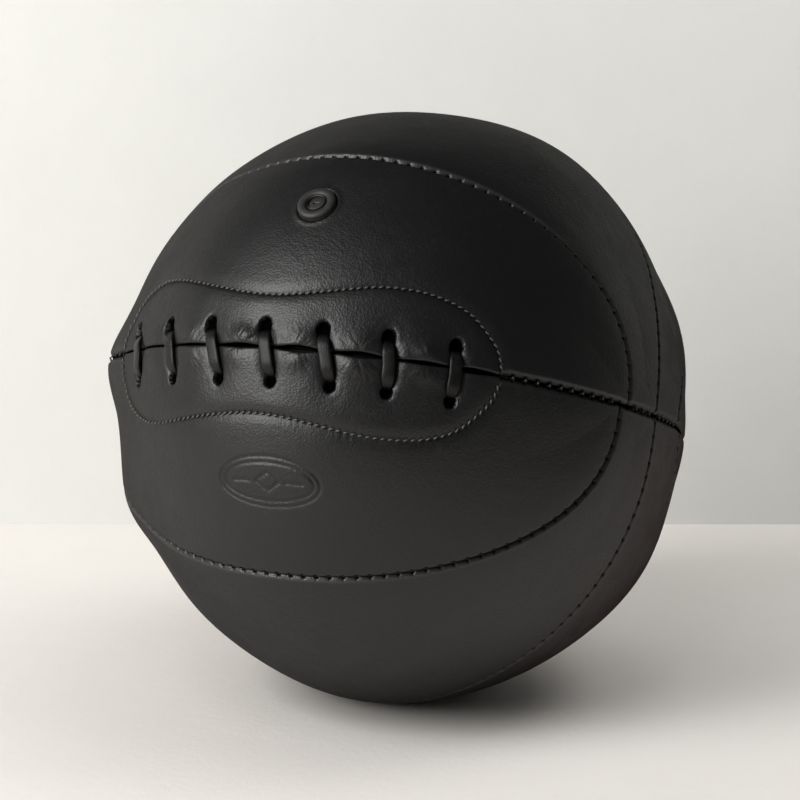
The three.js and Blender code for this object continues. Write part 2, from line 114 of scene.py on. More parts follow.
# A panel's edge at a seam: shares of the roll's width and depth, and the height of the crown beside it.
ROLLED_EDGE = (1.2, 1.0, 0.00035)
FLAT_EDGE = (0.6, 0.6, 0.0)
CROWN_AT, CROWN_WIDTH = 0.0024, 0.0011
# A stitch's slot: how far out it starts to fade, over what length, and its width in the leather and in its painted
# shade.
GIRDLE_REACH, SLOT_REACH, DARK_REACH = 0.0001, 0.0006, 0.0007
SLOT_FADE, DARK_FADE = 0.0006, 0.0005
SLOT_WIDTH, DARK_WIDTH = 0.0005, 0.0006
CREVICE_FADE = 0.00024
TUG, TUG_LONG, TUG_WIDE = 0.00012, 0.0014, 0.0030
# Where the mesh is gathered at the stitches, from a seam outwards, and how strongly.
GATHER_NEAR, GATHER_FAR, GATHER = 0.001, 0.006, 0.62
# The ridge along the seams: its spread, and the share of it by which the panels' middles are lower.
RIDGE_SPREAD, RIDGE_LEVEL = 0.017, 0.55
# Height under which the skin is pressed flat by the floor.
REST_HEIGHT = 0.0012

# Lace holes: share of the hole's radius and upward stretch, in each row.
UPPER_HOLE, LOWER_HOLE = (1.0, 1.3), (0.88, 1.05)
PIT_DROP, PIT_FLOOR = 0.0050, 0.0024
DENT, DENT_SPREAD = 0.0007, 0.0052
RIM, RIM_AT, RIM_WIDTH = 0.0001, 0.0042, 0.0010
BAR_HOLLOW, BAR_HOLLOW_WIDTH = 0.0014, 0.0031
# How wide the slit gapes between each two bars, then beyond the last and the first: each lip, in metres.
OPENINGS = [0.0001, 0.0002, 0.0006, 0.0010, 0.0008, 0.0004]
RIGHT_OPENING, LEFT_OPENING = 0.0008, 0.0002
LIP_FADE = 0.0035
# Puckers between the bars: height, length, distance from the slit and width. Lumps: height, drift and the same.
PUCKER = (0.0010, 0.0060, 0.0036, 0.0042)
LUMP = (0.0007, 0.0045, 0.0032, 0.004, 0.003)
# Folds in the puckers: how many, and their depth, width, wander, length, reach and its unevenness.
FOLDS = 9
FOLD_STRENGTHS = (0.35, 0.6, 1.0, 1.0, 1.0, 0.7)
FOLD_DEPTH, FOLD_WIDTH, FOLD_WANDER, FOLD_WAVE, FOLD_LENGTH = 0.00017, 0.00045, 0.0005, 0.0016, 0.0028
FOLD_REACH, FOLD_UNEVEN = 0.0052, 0.0022
# The facing's stitched groove: depth and width of its line and of the hollow round it.
GROOVE, GROOVE_BEAT, GROOVE_WIDTH = 0.0003, 0.00022, 0.0006
HOLLOW, HOLLOW_WIDTH = 0.00055, 0.0026
FACING_REACH, FACING_MARGIN = 0.034, 0.06
# Height in degrees of the facing's outline at its widest and at its waist, above and below the girdle.
FACING_SHAPE = {1: (12.8, 9.6), -1: (13.8, 11.6)}
# The pressed mark, in millimetres: ovals, lozenge and bars, and the depth and width of a line.
MARK_LON, MARK_LAT = math.radians(1.0), math.radians(-23.5)
MARK_OVALS = ((22.0, 9.6), (19.6, 7.4))
MARK_LOZENGE, LOZENGE_SLOPE = (5.2, 3.6), 2.95
MARK_BAR_AT, MARK_BAR_HALF = 11.2, 3.6
MARK_DEPTH, MARK_LINE = 0.00045, 0.55


# ---- Settings ----


def length(name, description, default):
    return bpy.props.FloatProperty(name=name, description=description, default=default, unit="LENGTH")


def angle(name, description, degrees):
    turn = math.radians(degrees)
    return bpy.props.FloatProperty(name=name, description=description, default=turn, subtype="ANGLE")


def tint(name, description, default):
    return bpy.props.FloatVectorProperty(name=name, description=description, default=default, subtype="COLOR")


class BallForm(bpy.types.PropertyGroup):
    """Size, attitude and broad form of the ball."""

    half_width: length("Half width", "Centre to pole", 0.1163)
    half_depth: length("Half depth", "Centre to lacing", 0.1221)
    half_height: length("Half height", "Centre to crown", 0.1215)
    lacing_raise: angle("Lacing raise", "How far the lacing looks up", 20.2)
    roll: angle("Roll", "How far the ball leans sideways", -1.2)
    leather: length("Leather", "Depth of a panel's back", 0.0027)
    ridge: length("Seam ridge", "How far the seams stand out of the flatter panels", 0.0011)
    sink: length("Sink", "The most that the skin sinks between its seams", 0.0019)
    unevenness: length("Unevenness", "Broad irregularity of the skin", 0.0007)


class SeamForm(bpy.types.PropertyGroup):
    """Turned seams, their stitches and the leather beside them."""

    upper_length: angle("Upper oval", "Half length of an oval above the girdle", 71.8)
    lower_length: angle("Lower oval", "Half length of an oval below the girdle", 69.5)
    rise: angle("Oval rise", "Half height of an oval", 41.5)
    power: bpy.props.FloatProperty(name="Oval power", description="Superellipse exponent", default=2.3)
    hoop_turn: angle("Hoop turn", "Longitude where the hoop seam meets the girdle", 82.2)
    pitch: length("Stitch pitch", "Between seam stitches", 0.0052)
    roll_width: length("Roll width", "Width of a rolled edge", 0.0020)
    roll_depth: length("Roll depth", "Depth of the crevice", 0.0014)
    slot_depth: length("Slot depth", "Pull of one stitch", 0.0010)


class LacingForm(bpy.types.PropertyGroup):
    """The laced opening."""

    pairs: bpy.props.IntProperty(name="Hole pairs", description="Pairs of lace holes", default=7, min=2)
    pitch: angle("Hole pitch", "From one pair of holes to the next", 11.68)
    upper: angle("Upper row", "Latitude", 3.65)
    lower: angle("Lower row", "Latitude", -5.85)
    hole: length("Hole radius", "Radius of a lace hole", 0.0026)
    width: length("Lace width", "Width of the lace", 0.0047)
    thickness: length("Lace thickness", "Of the lace", 0.0016)
    left: angle("Left tip", "Of the facing", -45.5)
    right: angle("Right tip", "Of the facing", 43)
    stitch: length("Facing stitch", "Pitch", 0.00275)


class ValveForm(bpy.types.PropertyGroup):
    """The inflation valve."""

    lon: angle("Longitude", "Of the valve", 2.0)
    lat: angle("Latitude", "Of the valve", 28.5)
    radius: length("Ring radius", "Outside", 0.0075)


class Finishes(bpy.types.PropertyGroup):
    """Colours of the finishes."""

    leather: tint("Leather", "Dyed face of the leather", (0.0047, 0.0045, 0.0046))
    # Brown tone: random brown patches, and a painted warm reflection of bounce light on the ball's right, back and
    # underside.
    leather_brown_and_bounce: tint("Worn leather", "Where the dye has browned", (0.028, 0.0108, 0.01))
    lace: tint("Lace", "Of the lace", (0.0042, 0.0039, 0.0038))
    thread: tint("Seam thread", "Waxed linen", (0.003, 0.0028, 0.0027))
    silver: tint("Facing thread", "Waxed thread that glints", (0.075, 0.075, 0.072))
    rubber: tint("Rubber", "Valve", (0.012, 0.0115, 0.011))
    floor: tint("Floor", "Pale plaster", (0.74, 0.71, 0.675))
    wall: tint("Wall", "Pale plaster", (0.70, 0.70, 0.67))


class StageForm(bpy.types.PropertyGroup):
    """Camera and lights."""

    azimuth: angle("Azimuth", "Of the camera", 25.96)
    elevation: angle("Elevation", "Of the camera", 11)
    distance: length("Distance", "Camera to ball", 0.9106)
    aside: length("Aside", "Ball right of the view's middle", 0.0019)
    under: length("Under", "Ball below the view's middle", 0.0022)
    lens: bpy.props.FloatProperty(name="Lens", description="Focal length in millimetres", default=99.0)


# ---- The ball's surface ----


def smoothstep(low, high, value):
    share = np.clip((value - low) / (high - low), 0.0, 1.0)
    return share * share * (3 - 2 * share)


def bell(value, width):
    return np.exp(-((value / width) ** 2))


def direction(lon, lat):
    """Unit directions at longitudes and latitudes in radians."""
    lon, lat = np.broadcast_arrays(lon, lat)
    return np.stack([np.sin(lon) * np.cos(lat), -np.cos(lon) * np.cos(lat), np.sin(lat)], axis=-1)


def unit(vectors):
    return vectors / np.linalg.norm(vectors, axis=-1, keepdims=True)


def mapped(middle, x, y):
    """Directions x along and y up from a point of the girdle, on a map true to distance from it."""
    away = np.hypot(x, y)
    turn = np.arctan2(y, x)
    across, out, up = np.sin(away) * np.cos(turn), -np.cos(away), np.sin(away) * np.sin(turn)
    cosine, sine = math.cos(middle), math.sin(middle)
    return np.stack([across * cosine - out * sine, across * sine + out * cosine, up], axis=-1)


def jitter(index, salt):
    """A steady pseudo-random number from -1 to 1 for each whole number."""
    wave = np.sin((np.asarray(index) + 1.0) * (12.9898 + salt) + salt * 78.233) * 43758.5453
    return 2 * (wave - np.floor(wave)) - 1


class Surface:
    """Skin, seams and fields of the ball. Lengths are metres, in the ball's own frame until placed."""

    def __init__(self, scene):
        self.form, self.seams = scene.ball_form, scene.ball_seams
        self.lacing, self.valve = scene.ball_lacing, scene.ball_valve
        self.halves = np.array([self.form.half_width, self.form.half_depth, self.form.half_height])
        self.radius = float(self.halves[1:].mean())
        turn = Matrix.Rotation(-self.form.lacing_raise, 3, "X") @ Matrix.Rotation(self.form.roll, 3, "Y")
        self.turn = np.array(turn)
        up = self.turn.T @ np.array([0.0, 0.0, 1.0])
        self.centre = np.array([0.0, 0.0, CAD_BOX[1][2] - np.linalg.norm(up * self.halves)])
        self.ovals = {}
        for face, half, middle, side in FACES:
            self.ovals[face, half] = self._oval(math.radians(middle), side)
        self.line = {half: self._facing(side) for half, side in (("upper", 1), ("lower", -1))}

    def drifted(self, ways):
        """Directions after the drift of the cut."""
        lon = np.arctan2(ways[..., 0], -ways[..., 1])
        lat = np.arcsin(np.clip(ways[..., 2], -1, 1))
        moved = lon.copy()
        for at_lon, wide, at_lat, high, drift in np.radians(DRIFTS):
            away = (lon - at_lon + math.pi) % (2 * math.pi) - math.pi
            moved += drift * bell(away, wide) * bell(lat - at_lat, high)
        return direction(moved, lat)

    def normal(self, ways):
        return unit(self.drifted(ways) / self.halves)

    def skin(self, ways, height=0.0):
        """Points on the skin, or at a height above it."""
        ways = self.drifted(ways)
        swell = np.zeros(ways.shape[:-1])
        for lon, lat, spread, high in SWELLS:
            near = ways @ direction(math.radians(lon), math.radians(lat))
            swell += high * MM * np.exp((near - 1) * 2 / math.radians(spread) ** 2)
        swell = np.maximum(swell, -self.form.sink)
        return ways * self.halves + unit(ways / self.halves) * (swell + height)[..., None]

    def placed(self, points):
        """Points in the row's frame, pressed flat where the ball lies."""
        world = points @ self.turn.T + self.centre
        level = world[..., 2]
        pressed = REST_HEIGHT * np.exp((level - REST_HEIGHT) / REST_HEIGHT)
        world[..., 2] = np.where(level < REST_HEIGHT, pressed, level)
        return world

    # -- seam lines --

    def _oval(self, middle, side):
        """Directions along half an oval at even steps, with the length run so far."""
        length = self.seams.upper_length if side > 0 else self.seams.lower_length
        turn = np.linspace(0.0, math.pi, 3001)
        power = self.seams.power
        reach = (np.abs(np.cos(turn)) ** power + np.abs(np.sin(turn)) ** power) ** (-1 / power)
        x, y = -np.cos(turn) * reach * length, np.sin(turn) * reach * self.seams.rise
        return self._evened(mapped(middle, x, side * y), np.stack([x, y], -1))

    def _evened(self, ways, extra=None):
        points = self.skin(ways)
        run = np.concatenate([[0.0], np.cumsum(np.linalg.norm(np.diff(points, axis=0), axis=1))])
        at = np.linspace(0.0, run[-1], len(run))
        even = np.stack([np.interp(at, run, ways[:, k]) for k in range(3)], -1)
        even /= np.linalg.norm(even, axis=1, keepdims=True)
        line = {"ways": even, "run": at, "length": run[-1], "tree": None}
        if extra is not None:
            line["map"] = np.stack([np.interp(at, run, extra[:, k]) for k in range(extra.shape[1])], -1)
        return line

    def _facing(self, side):
        """Outline of the facing's stitching, from tip to tip."""
        wide, waist = FACING_SHAPE[side]
        left, right = math.degrees(self.lacing.left), math.degrees(self.lacing.right)
        corners = [
            (left, 0.6), (left + 1.6, 0.42 * wide), (left + 6, 0.78 * wide), (left + 17, wide), (-2, waist),
            (right - 22, wide), (right - 9, 0.86 * wide), (right - 2, 0.42 * wide), (right, 0.6),
        ]
        knots = np.radians(np.array(corners) * [1, side])
        fine = catmull(knots, 160)
        return self._evened(direction(fine[:, 0], fine[:, 1]))

    def hoop(self, share, side):
        """Directions along the hoop seam's upper or lower half, from the left pole to the right."""
        pole = direction(self.seams.hoop_turn, 0.0)
        turn = np.asarray(share)[..., None] * math.pi
        return -np.cos(turn) * pole + np.sin(turn) * np.array([0.0, 0.0, side])

    def near(self, line, points):
        """Distance from each point to a line and the length run along the line to there."""
        spots = self.skin(line["ways"])
        if line["tree"] is None:
            line["tree"] = KDTree(len(spots))
            for i, spot in enumerate(spots):
                line["tree"].insert(spot, i)
            line["tree"].balance()
        index = np.array([line["tree"].find(p)[1] for p in points])
        offset = points - spots[index]
        ahead = unit(np.gradient(spots, axis=0))[index]
        along = (offset * ahead).sum(1)
        distance = np.sqrt(np.maximum((offset ** 2).sum(1) - along ** 2, 0.0))
        return distance, line["run"][index] + along

    def girdle_fields(self, ways):
        lon = np.arctan2(ways[..., 0], -ways[..., 1])
        return np.abs(np.arcsin(np.clip(ways[..., 2], -1, 1))) * self.radius, lon * self.radius

    def hoop_fields(self, ways):
        pole = direction(self.seams.hoop_turn, 0.0)
        across = np.array([pole[1], -pole[0], 0.0])
        turn = np.arctan2(ways[..., 2], ways @ pole)
        return np.abs(np.arcsin(np.clip(ways @ across, -1, 1))) * self.radius, turn * self.radius

    def at_girdle(self, ways):
        """Directions gathered at the girdle's stitches, with their distance from it and run along it."""
        distance, run = self.girdle_fields(ways)
        run = run + self.gathered(distance, run)
        level = np.sqrt(1 - ways[..., 2] ** 2)
        lon = run / self.radius
        return np.stack([np.sin(lon) * level, -np.cos(lon) * level, ways[..., 2]], -1), distance, run

    def at_hoop(self, ways):
        """The same for the hoop seam."""
        distance, run = self.hoop_fields(ways)
        shift = self.gathered(distance, run)
        turn = run / self.radius
        pole = direction(self.seams.hoop_turn, 0.0)
        along = -np.sin(turn)[..., None] * pole + np.cos(turn)[..., None] * np.array([0.0, 0.0, 1.0])
        return unit(ways + along * (shift / self.radius)[..., None]), distance, run + shift

    def at_line(self, line, ways):
        """The same for an oval."""
        distance, run = (v.reshape(ways.shape[:-1]) for v in self.near(line, self.skin(ways).reshape(-1, 3)))
        shift = self.gathered(distance, run)
        ahead = np.gradient(line["ways"], line["run"], axis=0)
        along = np.stack([np.interp(run, line["run"], ahead[:, k]) for k in range(3)], -1)
        return unit(ways + along * shift[..., None]), distance, run + shift

    # -- form of the leather --

    def broad(self, ways, seam_distance):
        """Height of the panels' broad form: ridges at the seams, flatter middles, slight unevenness."""
        x, y, z = ways[..., 0], ways[..., 1], ways[..., 2]
        wave = np.sin(2.3 * x + 3.1 * z + 0.7) * np.cos(2.7 * y - 1.9 * z + 0.4)
        wave = wave + 0.5 * np.sin(5.1 * y + 4.3 * x - 1.1) * np.cos(4.7 * z + 2.0)
        ridge = self.form.ridge * (bell(seam_distance, RIDGE_SPREAD) - RIDGE_LEVEL)
        return ridge + self.form.unevenness * wave

    def offset(self, run):
        """Signed distance along a seam from its nearest stitch."""
        phase = run / self.seams.pitch
        return (phase - np.floor(phase) - 0.5) * self.seams.pitch

    def gathered(self, distance, run):
        """Shift along a seam that gathers a mesh's columns at the stitches."""
        wave = 2 * math.pi / self.seams.pitch
        shift = -GATHER / wave * np.sin(wave * self.offset(run))
        return shift * (1 - smoothstep(GATHER_NEAR, GATHER_FAR, distance))

    def rolled(self, distance, run, seam, stitched=1.0, flat=False):
        """Height of a rolled or flatter edge beside a seam, with the slot that each stitch pulls."""
        seams = self.seams
        salt, gap = SEAMS[seam]
        pull = stitched * (1 + 0.2 * jitter(np.floor(run / seams.pitch), salt))
        wide, deep, proud = FLAT_EDGE if flat else ROLLED_EDGE
        width = seams.roll_width * wide * (0.5 + 0.5 * stitched)
        inside = np.clip(1 - (distance - gap * stitched) / width, 0.0, 1.0)
        slope = 0.5 * inside ** 1.5 + 0.5 * (1 - np.sqrt(np.clip(1 - inside ** 2, 0.0, 1.0)))
        depth = seams.roll_depth * deep * (0.75 + 0.25 * stitched) * slope
        reach = gap + (GIRDLE_REACH if seam == "girdle" else SLOT_REACH)
        slot = bell(self.offset(run), SLOT_WIDTH) * (1 - smoothstep(reach, reach + SLOT_FADE, distance))
        tug = bell(self.offset(run), TUG_LONG) * bell(distance, TUG_WIDE)
        crown = proud * stitched * bell(distance - gap - CROWN_AT, CROWN_WIDTH)
        return crown - depth - seams.slot_depth * pull * slot - TUG * pull * tug

    def slots(self, distance, run, seam):
        """Where shade is painted in the stitches' slots and the crevice, from 0 to 1."""
        gap = SEAMS[seam][1]
        reach = gap + (GIRDLE_REACH if seam == "girdle" else DARK_REACH)
        slot = bell(self.offset(run), DARK_WIDTH) * (1 - smoothstep(reach, reach + DARK_FADE, distance))
        return np.maximum(slot, 1 - smoothstep(gap * 0.6, gap + CREVICE_FADE, distance))

    def stitched(self, run):
        """1 where the girdle is sewn, 0 where it is the laced opening."""
        lon = run / self.radius
        return 1 - smoothstep(self.lacing.left - 0.02, self.lacing.left + 0.01, lon) * (
            1 - smoothstep(self.lacing.right - 0.01, self.lacing.right + 0.02, lon)
        )

    def bar_lons(self):
        count = self.lacing.pairs
        return (np.arange(count) - (count - 1) / 2) * self.lacing.pitch

    def hole_lons(self, side):
        """Longitudes of the holes above (side 1) or below (side -1) the girdle."""
        return self.bar_lons() + np.radians([lean[0 if side > 0 else 1] for lean in LEANS])

    def gape(self, lon):
        """How far each lip of the laced opening stands off the girdle."""
        bars = self.bar_lons()
        gap = np.zeros_like(lon)
        for bar, wide in zip(bars[:-1], OPENINGS):
            share = np.clip((lon - bar) / self.lacing.pitch, 0.0, 1.0)
            gap += wide * np.sin(math.pi * share) ** 2
        right = np.clip((lon - bars[-1]) / (self.lacing.right - bars[-1]), 0.0, 1.0)
        left = np.clip((bars[0] - lon) / (bars[0] - self.lacing.left), 0.0, 1.0)
        return gap + RIGHT_OPENING * np.sin(math.pi * right ** 0.6) + LEFT_OPENING * np.sin(math.pi * left)

    def lacing_form(self, ways, side):
        """Height round the laced opening on one side of the girdle, and where shade is painted in its holes, from
        0 to 1.
        """
        lon = np.arctan2(ways[..., 0], -ways[..., 1])
        lat = np.arcsin(np.clip(ways[..., 2], -1, 1))
        x, y = lon * self.radius, np.abs(lat) * self.radius
        height, pits = self.holes(x, y, side)
        height = height + self.puckers(x, y, side) - self.groove(ways, lon, y, side)
        return np.maximum(height, -PIT_FLOOR), pits

    def holes(self, x, y, side):
        """Lace holes, the dents round them and the hollows under the bars, and where shade is painted in the
        holes.
        """
        row = abs(self.lacing.upper if side > 0 else self.lacing.lower) * self.radius
        share, stretch = UPPER_HOLE if side > 0 else LOWER_HOLE
        hole = self.lacing.hole * share
        height, pits = np.zeros_like(x), np.zeros_like(x)
        for i, (bar, spot) in enumerate(zip(self.bar_lons(), self.hole_lons(side))):
            out = np.hypot(x - spot * self.radius, (y - row) / stretch)
            height -= PIT_DROP * (1 - smoothstep(hole * 0.9, hole * 1.08, out))
            pits = np.maximum(pits, 1 - smoothstep(hole * 1.04, hole * 1.16, out))
            height -= DENT * bell(out, DENT_SPREAD) * (1 + 0.3 * jitter(i, side + 6.0))
            height += RIM * bell(out - RIM_AT, RIM_WIDTH)
            across = x - (bar + (spot - bar) * np.clip(y / row, 0.0, 1.0)) * self.radius
            height -= BAR_HOLLOW * bell(across, BAR_HOLLOW_WIDTH) * (1 - smoothstep(row * 0.75, row * 1.05, y))
        return height, pits

    def puckers(self, x, y, side):
        """Swollen leather between the bars, with fine folds that run towards the slit."""
        bars = self.bar_lons()
        height = np.zeros_like(x)
        for k, (middle, strong) in enumerate(zip((bars[1:] + bars[:-1]) / 2 * self.radius, FOLD_STRENGTHS)):
            dx = x - middle
            high, long, at, wide = PUCKER
            height += high * bell(dx, long) * bell(y - at, wide)
            high, drift, long, at, wide = LUMP
            lump = bell(dx - drift * jitter(k, side + 9.1), long) * bell(y - at, wide)
            height += high * jitter(k, side + 1.3) * lump
            for fold in range(FOLDS):
                turn = math.radians(20 + 140 * (fold + 0.5 + 0.35 * jitter(fold, side + k)) / FOLDS)
                ahead = dx * math.cos(turn) + y * math.sin(turn)
                across = y * math.cos(turn) - dx * math.sin(turn)
                across = across + FOLD_WANDER * np.sin(ahead / FOLD_WAVE + fold)
                reach = FOLD_REACH + FOLD_UNEVEN * jitter(fold, side + k + 3.0)
                deep = FOLD_DEPTH * strong * (1 + 0.5 * jitter(fold, side + k + 6.0))
                height -= deep * bell(across, FOLD_WIDTH) * bell(ahead - reach, FOLD_LENGTH)
        return height

    def groove(self, ways, lon, y, side):
        """Depth of the groove that the facing's stitches pull."""
        lacing = self.lacing
        close = (y < FACING_REACH) & (lon > lacing.left - FACING_MARGIN) & (lon < lacing.right + FACING_MARGIN)
        away = np.full_like(y, 0.05)
        run = np.zeros_like(y)
        away[close], run[close] = self.near(self.line["upper" if side > 0 else "lower"], self.skin(ways[close]))
        beat = 0.5 + 0.5 * np.cos(2 * math.pi * run / lacing.stitch)
        return (GROOVE + GROOVE_BEAT * beat) * bell(away, GROOVE_WIDTH) + HOLLOW * bell(away, HOLLOW_WIDTH)

    def valve_form(self, ways):
        """Pit in which the valve stands, and where shade is painted in it."""
        spot = self.skin(direction(self.valve.lon, self.valve.lat))
        out = np.linalg.norm(self.skin(ways) - spot, axis=-1)
        edge = self.valve.radius
        pit = 1 - smoothstep(edge * 0.97, edge * 1.06, out)
        lip = 0.00035 * bell(out - edge * 1.14, 0.0012)
        return lip - 0.0026 * pit - 0.0003 * bell(out, 0.016), pit

    def emblem_form(self, ways):
        """Plain pressed mark: two ovals, a lozenge and two short bars."""
        lon = np.arctan2(ways[..., 0], -ways[..., 1])
        lat = np.arcsin(np.clip(ways[..., 2], -1, 1))
        x = (lon - MARK_LON) * np.cos(lat) * self.radius / MM
        y = (lat - MARK_LAT) * self.radius / MM
        lines = []
        for long, short in MARK_OVALS:
            shape = np.hypot(x / long, y / short)
            slope = np.hypot(x / long ** 2, y / short ** 2) / np.maximum(shape, 1e-6)
            lines.append(np.abs(shape - 1) / np.maximum(slope, 1e-6))
        long, short = MARK_LOZENGE
        lines.append(np.abs(np.abs(x) / long + np.abs(y) / short - 1) * LOZENGE_SLOPE)
        lines.append(np.hypot(np.maximum(np.abs(np.abs(x) - MARK_BAR_AT) - MARK_BAR_HALF, 0.0), y))
        return -MARK_DEPTH * np.max([bell(line, MARK_LINE) for line in lines], axis=0)


def catmull(knots, steps):
    """Smooth curve through knots, with a number of steps between each two."""
    padded = np.vstack([2 * knots[0] - knots[1], knots, 2 * knots[-1] - knots[-2]])
    share = np.linspace(0.0, 1.0, steps, endpoint=False)[:, None]
    pieces = []
    for a, b, c, d in zip(padded[:-3], padded[1:-2], padded[2:-1], padded[3:]):
        square, cube = 2 * a - 5 * b + 4 * c - d, 3 * b - a - 3 * c + d
        pieces.append(0.5 * (2 * b + (c - a) * share + square * share ** 2 + cube * share ** 3))
    return np.vstack([*pieces, knots[-1:]])


# ---- Mesh helpers ----


def grid_mesh(name, columns, rows, points, fields=None):
    """Mesh of a grid of columns and rows whose vertices are moved to the points given for them."""
    bm = bmesh.new()
    bmesh.ops.create_grid(bm, x_segments=columns - 1, y_segments=rows - 1, size=1.0)
    mesh = bpy.data.meshes.new(name)
    bm.to_mesh(mesh)
    bm.free()
    flat = np.empty(3 * len(mesh.vertices))
    mesh.vertices.foreach_get("co", flat)
    flat = flat.reshape(-1, 3)
    low, high = flat.min(0), flat.max(0)
    column = np.rint((flat[:, 0] - low[0]) / (high[0] - low[0]) * (columns - 1)).astype(int)
    row = np.rint((flat[:, 1] - low[1]) / (high[1] - low[1]) * (rows - 1)).astype(int)
    mesh.vertices.foreach_set("co", points[column, row].ravel())
    for field, values in (fields or {}).items():
        attribute = mesh.attributes.new(field, "FLOAT", "POINT")
        attribute.data.foreach_set("value", values[column, row].astype(np.float32).ravel())
    mesh.update()
    return mesh


def closed(mesh):
    """Joins a rolled-up grid into a closed form with its faces outwards."""
    bm = bmesh.new()
    bm.from_mesh(mesh)
    bmesh.ops.remove_doubles(bm, verts=bm.verts, dist=1e-7)
    bmesh.ops.holes_fill(bm, edges=[e for e in bm.edges if e.is_boundary], sides=0)
    bmesh.ops.recalc_face_normals(bm, faces=bm.faces)
    if bm.calc_volume(signed=True) < 0:
        bmesh.ops.reverse_faces(bm, faces=bm.faces)
    bm.to_mesh(mesh)
    bm.free()


def piece(name, mesh, material, nodes):
    """Puts a finished mesh in the scene as a piece that stands for its nodes."""
    for polygon in mesh.polygons:
        polygon.use_smooth = True
    obj = bpy.data.objects.new(name, mesh)
    bpy.context.collection.objects.link(obj)
    mesh.materials.append(material)
    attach(obj, BODY)
    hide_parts(*nodes)
    return obj


def swept(name, surface, points, wide, thick, half_width, half_thickness, sides, square=0.62, extra=None):
    """Closed band along points: wide and thick are its unit cross directions, square its squareness.

    Extra fields have a value at each point."""
    turn = np.linspace(0.0, 2 * math.pi, sides + 1)
    across = np.sign(np.cos(turn)) * np.abs(np.cos(turn)) ** square
    through = np.sign(np.sin(turn)) * np.abs(np.sin(turn)) ** square
    rings = points[:, None] + wide[:, None] * (half_width[:, None] * across)[..., None]
    rings = rings + thick[:, None] * (half_thickness[:, None] * through)[..., None]
    run = np.concatenate([[0.0], np.cumsum(np.linalg.norm(np.diff(points, axis=0), axis=1))])
    fields = {"across": across + 0 * rings[..., 0], "along": run[:, None] + 0 * rings[..., 0]}
    fields |= {key: values[:, None] + 0 * rings[..., 0] for key, values in (extra or {}).items()}
    mesh = grid_mesh(name, len(points), sides + 1, surface.placed(rings), fields)
    closed(mesh)
    return mesh


def beads(bm, surface, ways, runs, height, length, radius, lean):
    """Adds one stitch, a small rounded bar, at each direction, leaning off its run."""
    turn = Matrix(surface.turn.tolist()).to_4x4()
    for spot, up, run in zip(surface.skin(ways, height), surface.normal(ways), runs):
        side = np.cross(up, run)
        side /= np.linalg.norm(side)
        along = np.cross(side, up) * math.cos(lean) + side * math.sin(lean)
        axes = (along * length / 2, np.cross(up, along) * radius, up * radius)
        shape = Matrix([(*axis, 0) for axis in axes] + [(0, 0, 0, 1)]).transposed()
        place = Matrix.Translation(Vector(surface.placed(spot[None])[0]))
        bmesh.ops.create_uvsphere(bm, u_segments=8, v_segments=5, radius=1.0, matrix=place @ turn @ shape)


# ---- Shader helpers ----


class Value:
    """A shader socket that can stand in an expression."""

    def __init__(self, shader, socket):
        self.shader, self.socket = shader, socket

    def maths(self, operation, other, swap=False):
        first, second = (other, self) if swap else (self, other)
        return self.shader.node("ShaderNodeMath", {"operation": operation}, {0: first, 1: second})

    def __add__(self, other):
        return self.maths("ADD", other)

    def __sub__(self, other):
        return self.maths("SUBTRACT", other)

    def __rsub__(self, other):
        return self.maths("SUBTRACT", other, swap=True)

    def __mul__(self, other):
        return self.maths("MULTIPLY", other)

    __radd__ = __add__
    __rmul__ = __mul__

    def highest(self, other):
        return self.maths("MAXIMUM", other)

    def between(self, low, high):
        """0 below low, 1 above high and smooth between them."""
        settings = {"interpolation_type": "SMOOTHSTEP", "clamp": True}
        sockets = {"Value": self, "From Min": low, "From Max": high}
        return self.shader.node("ShaderNodeMapRange", settings, sockets)


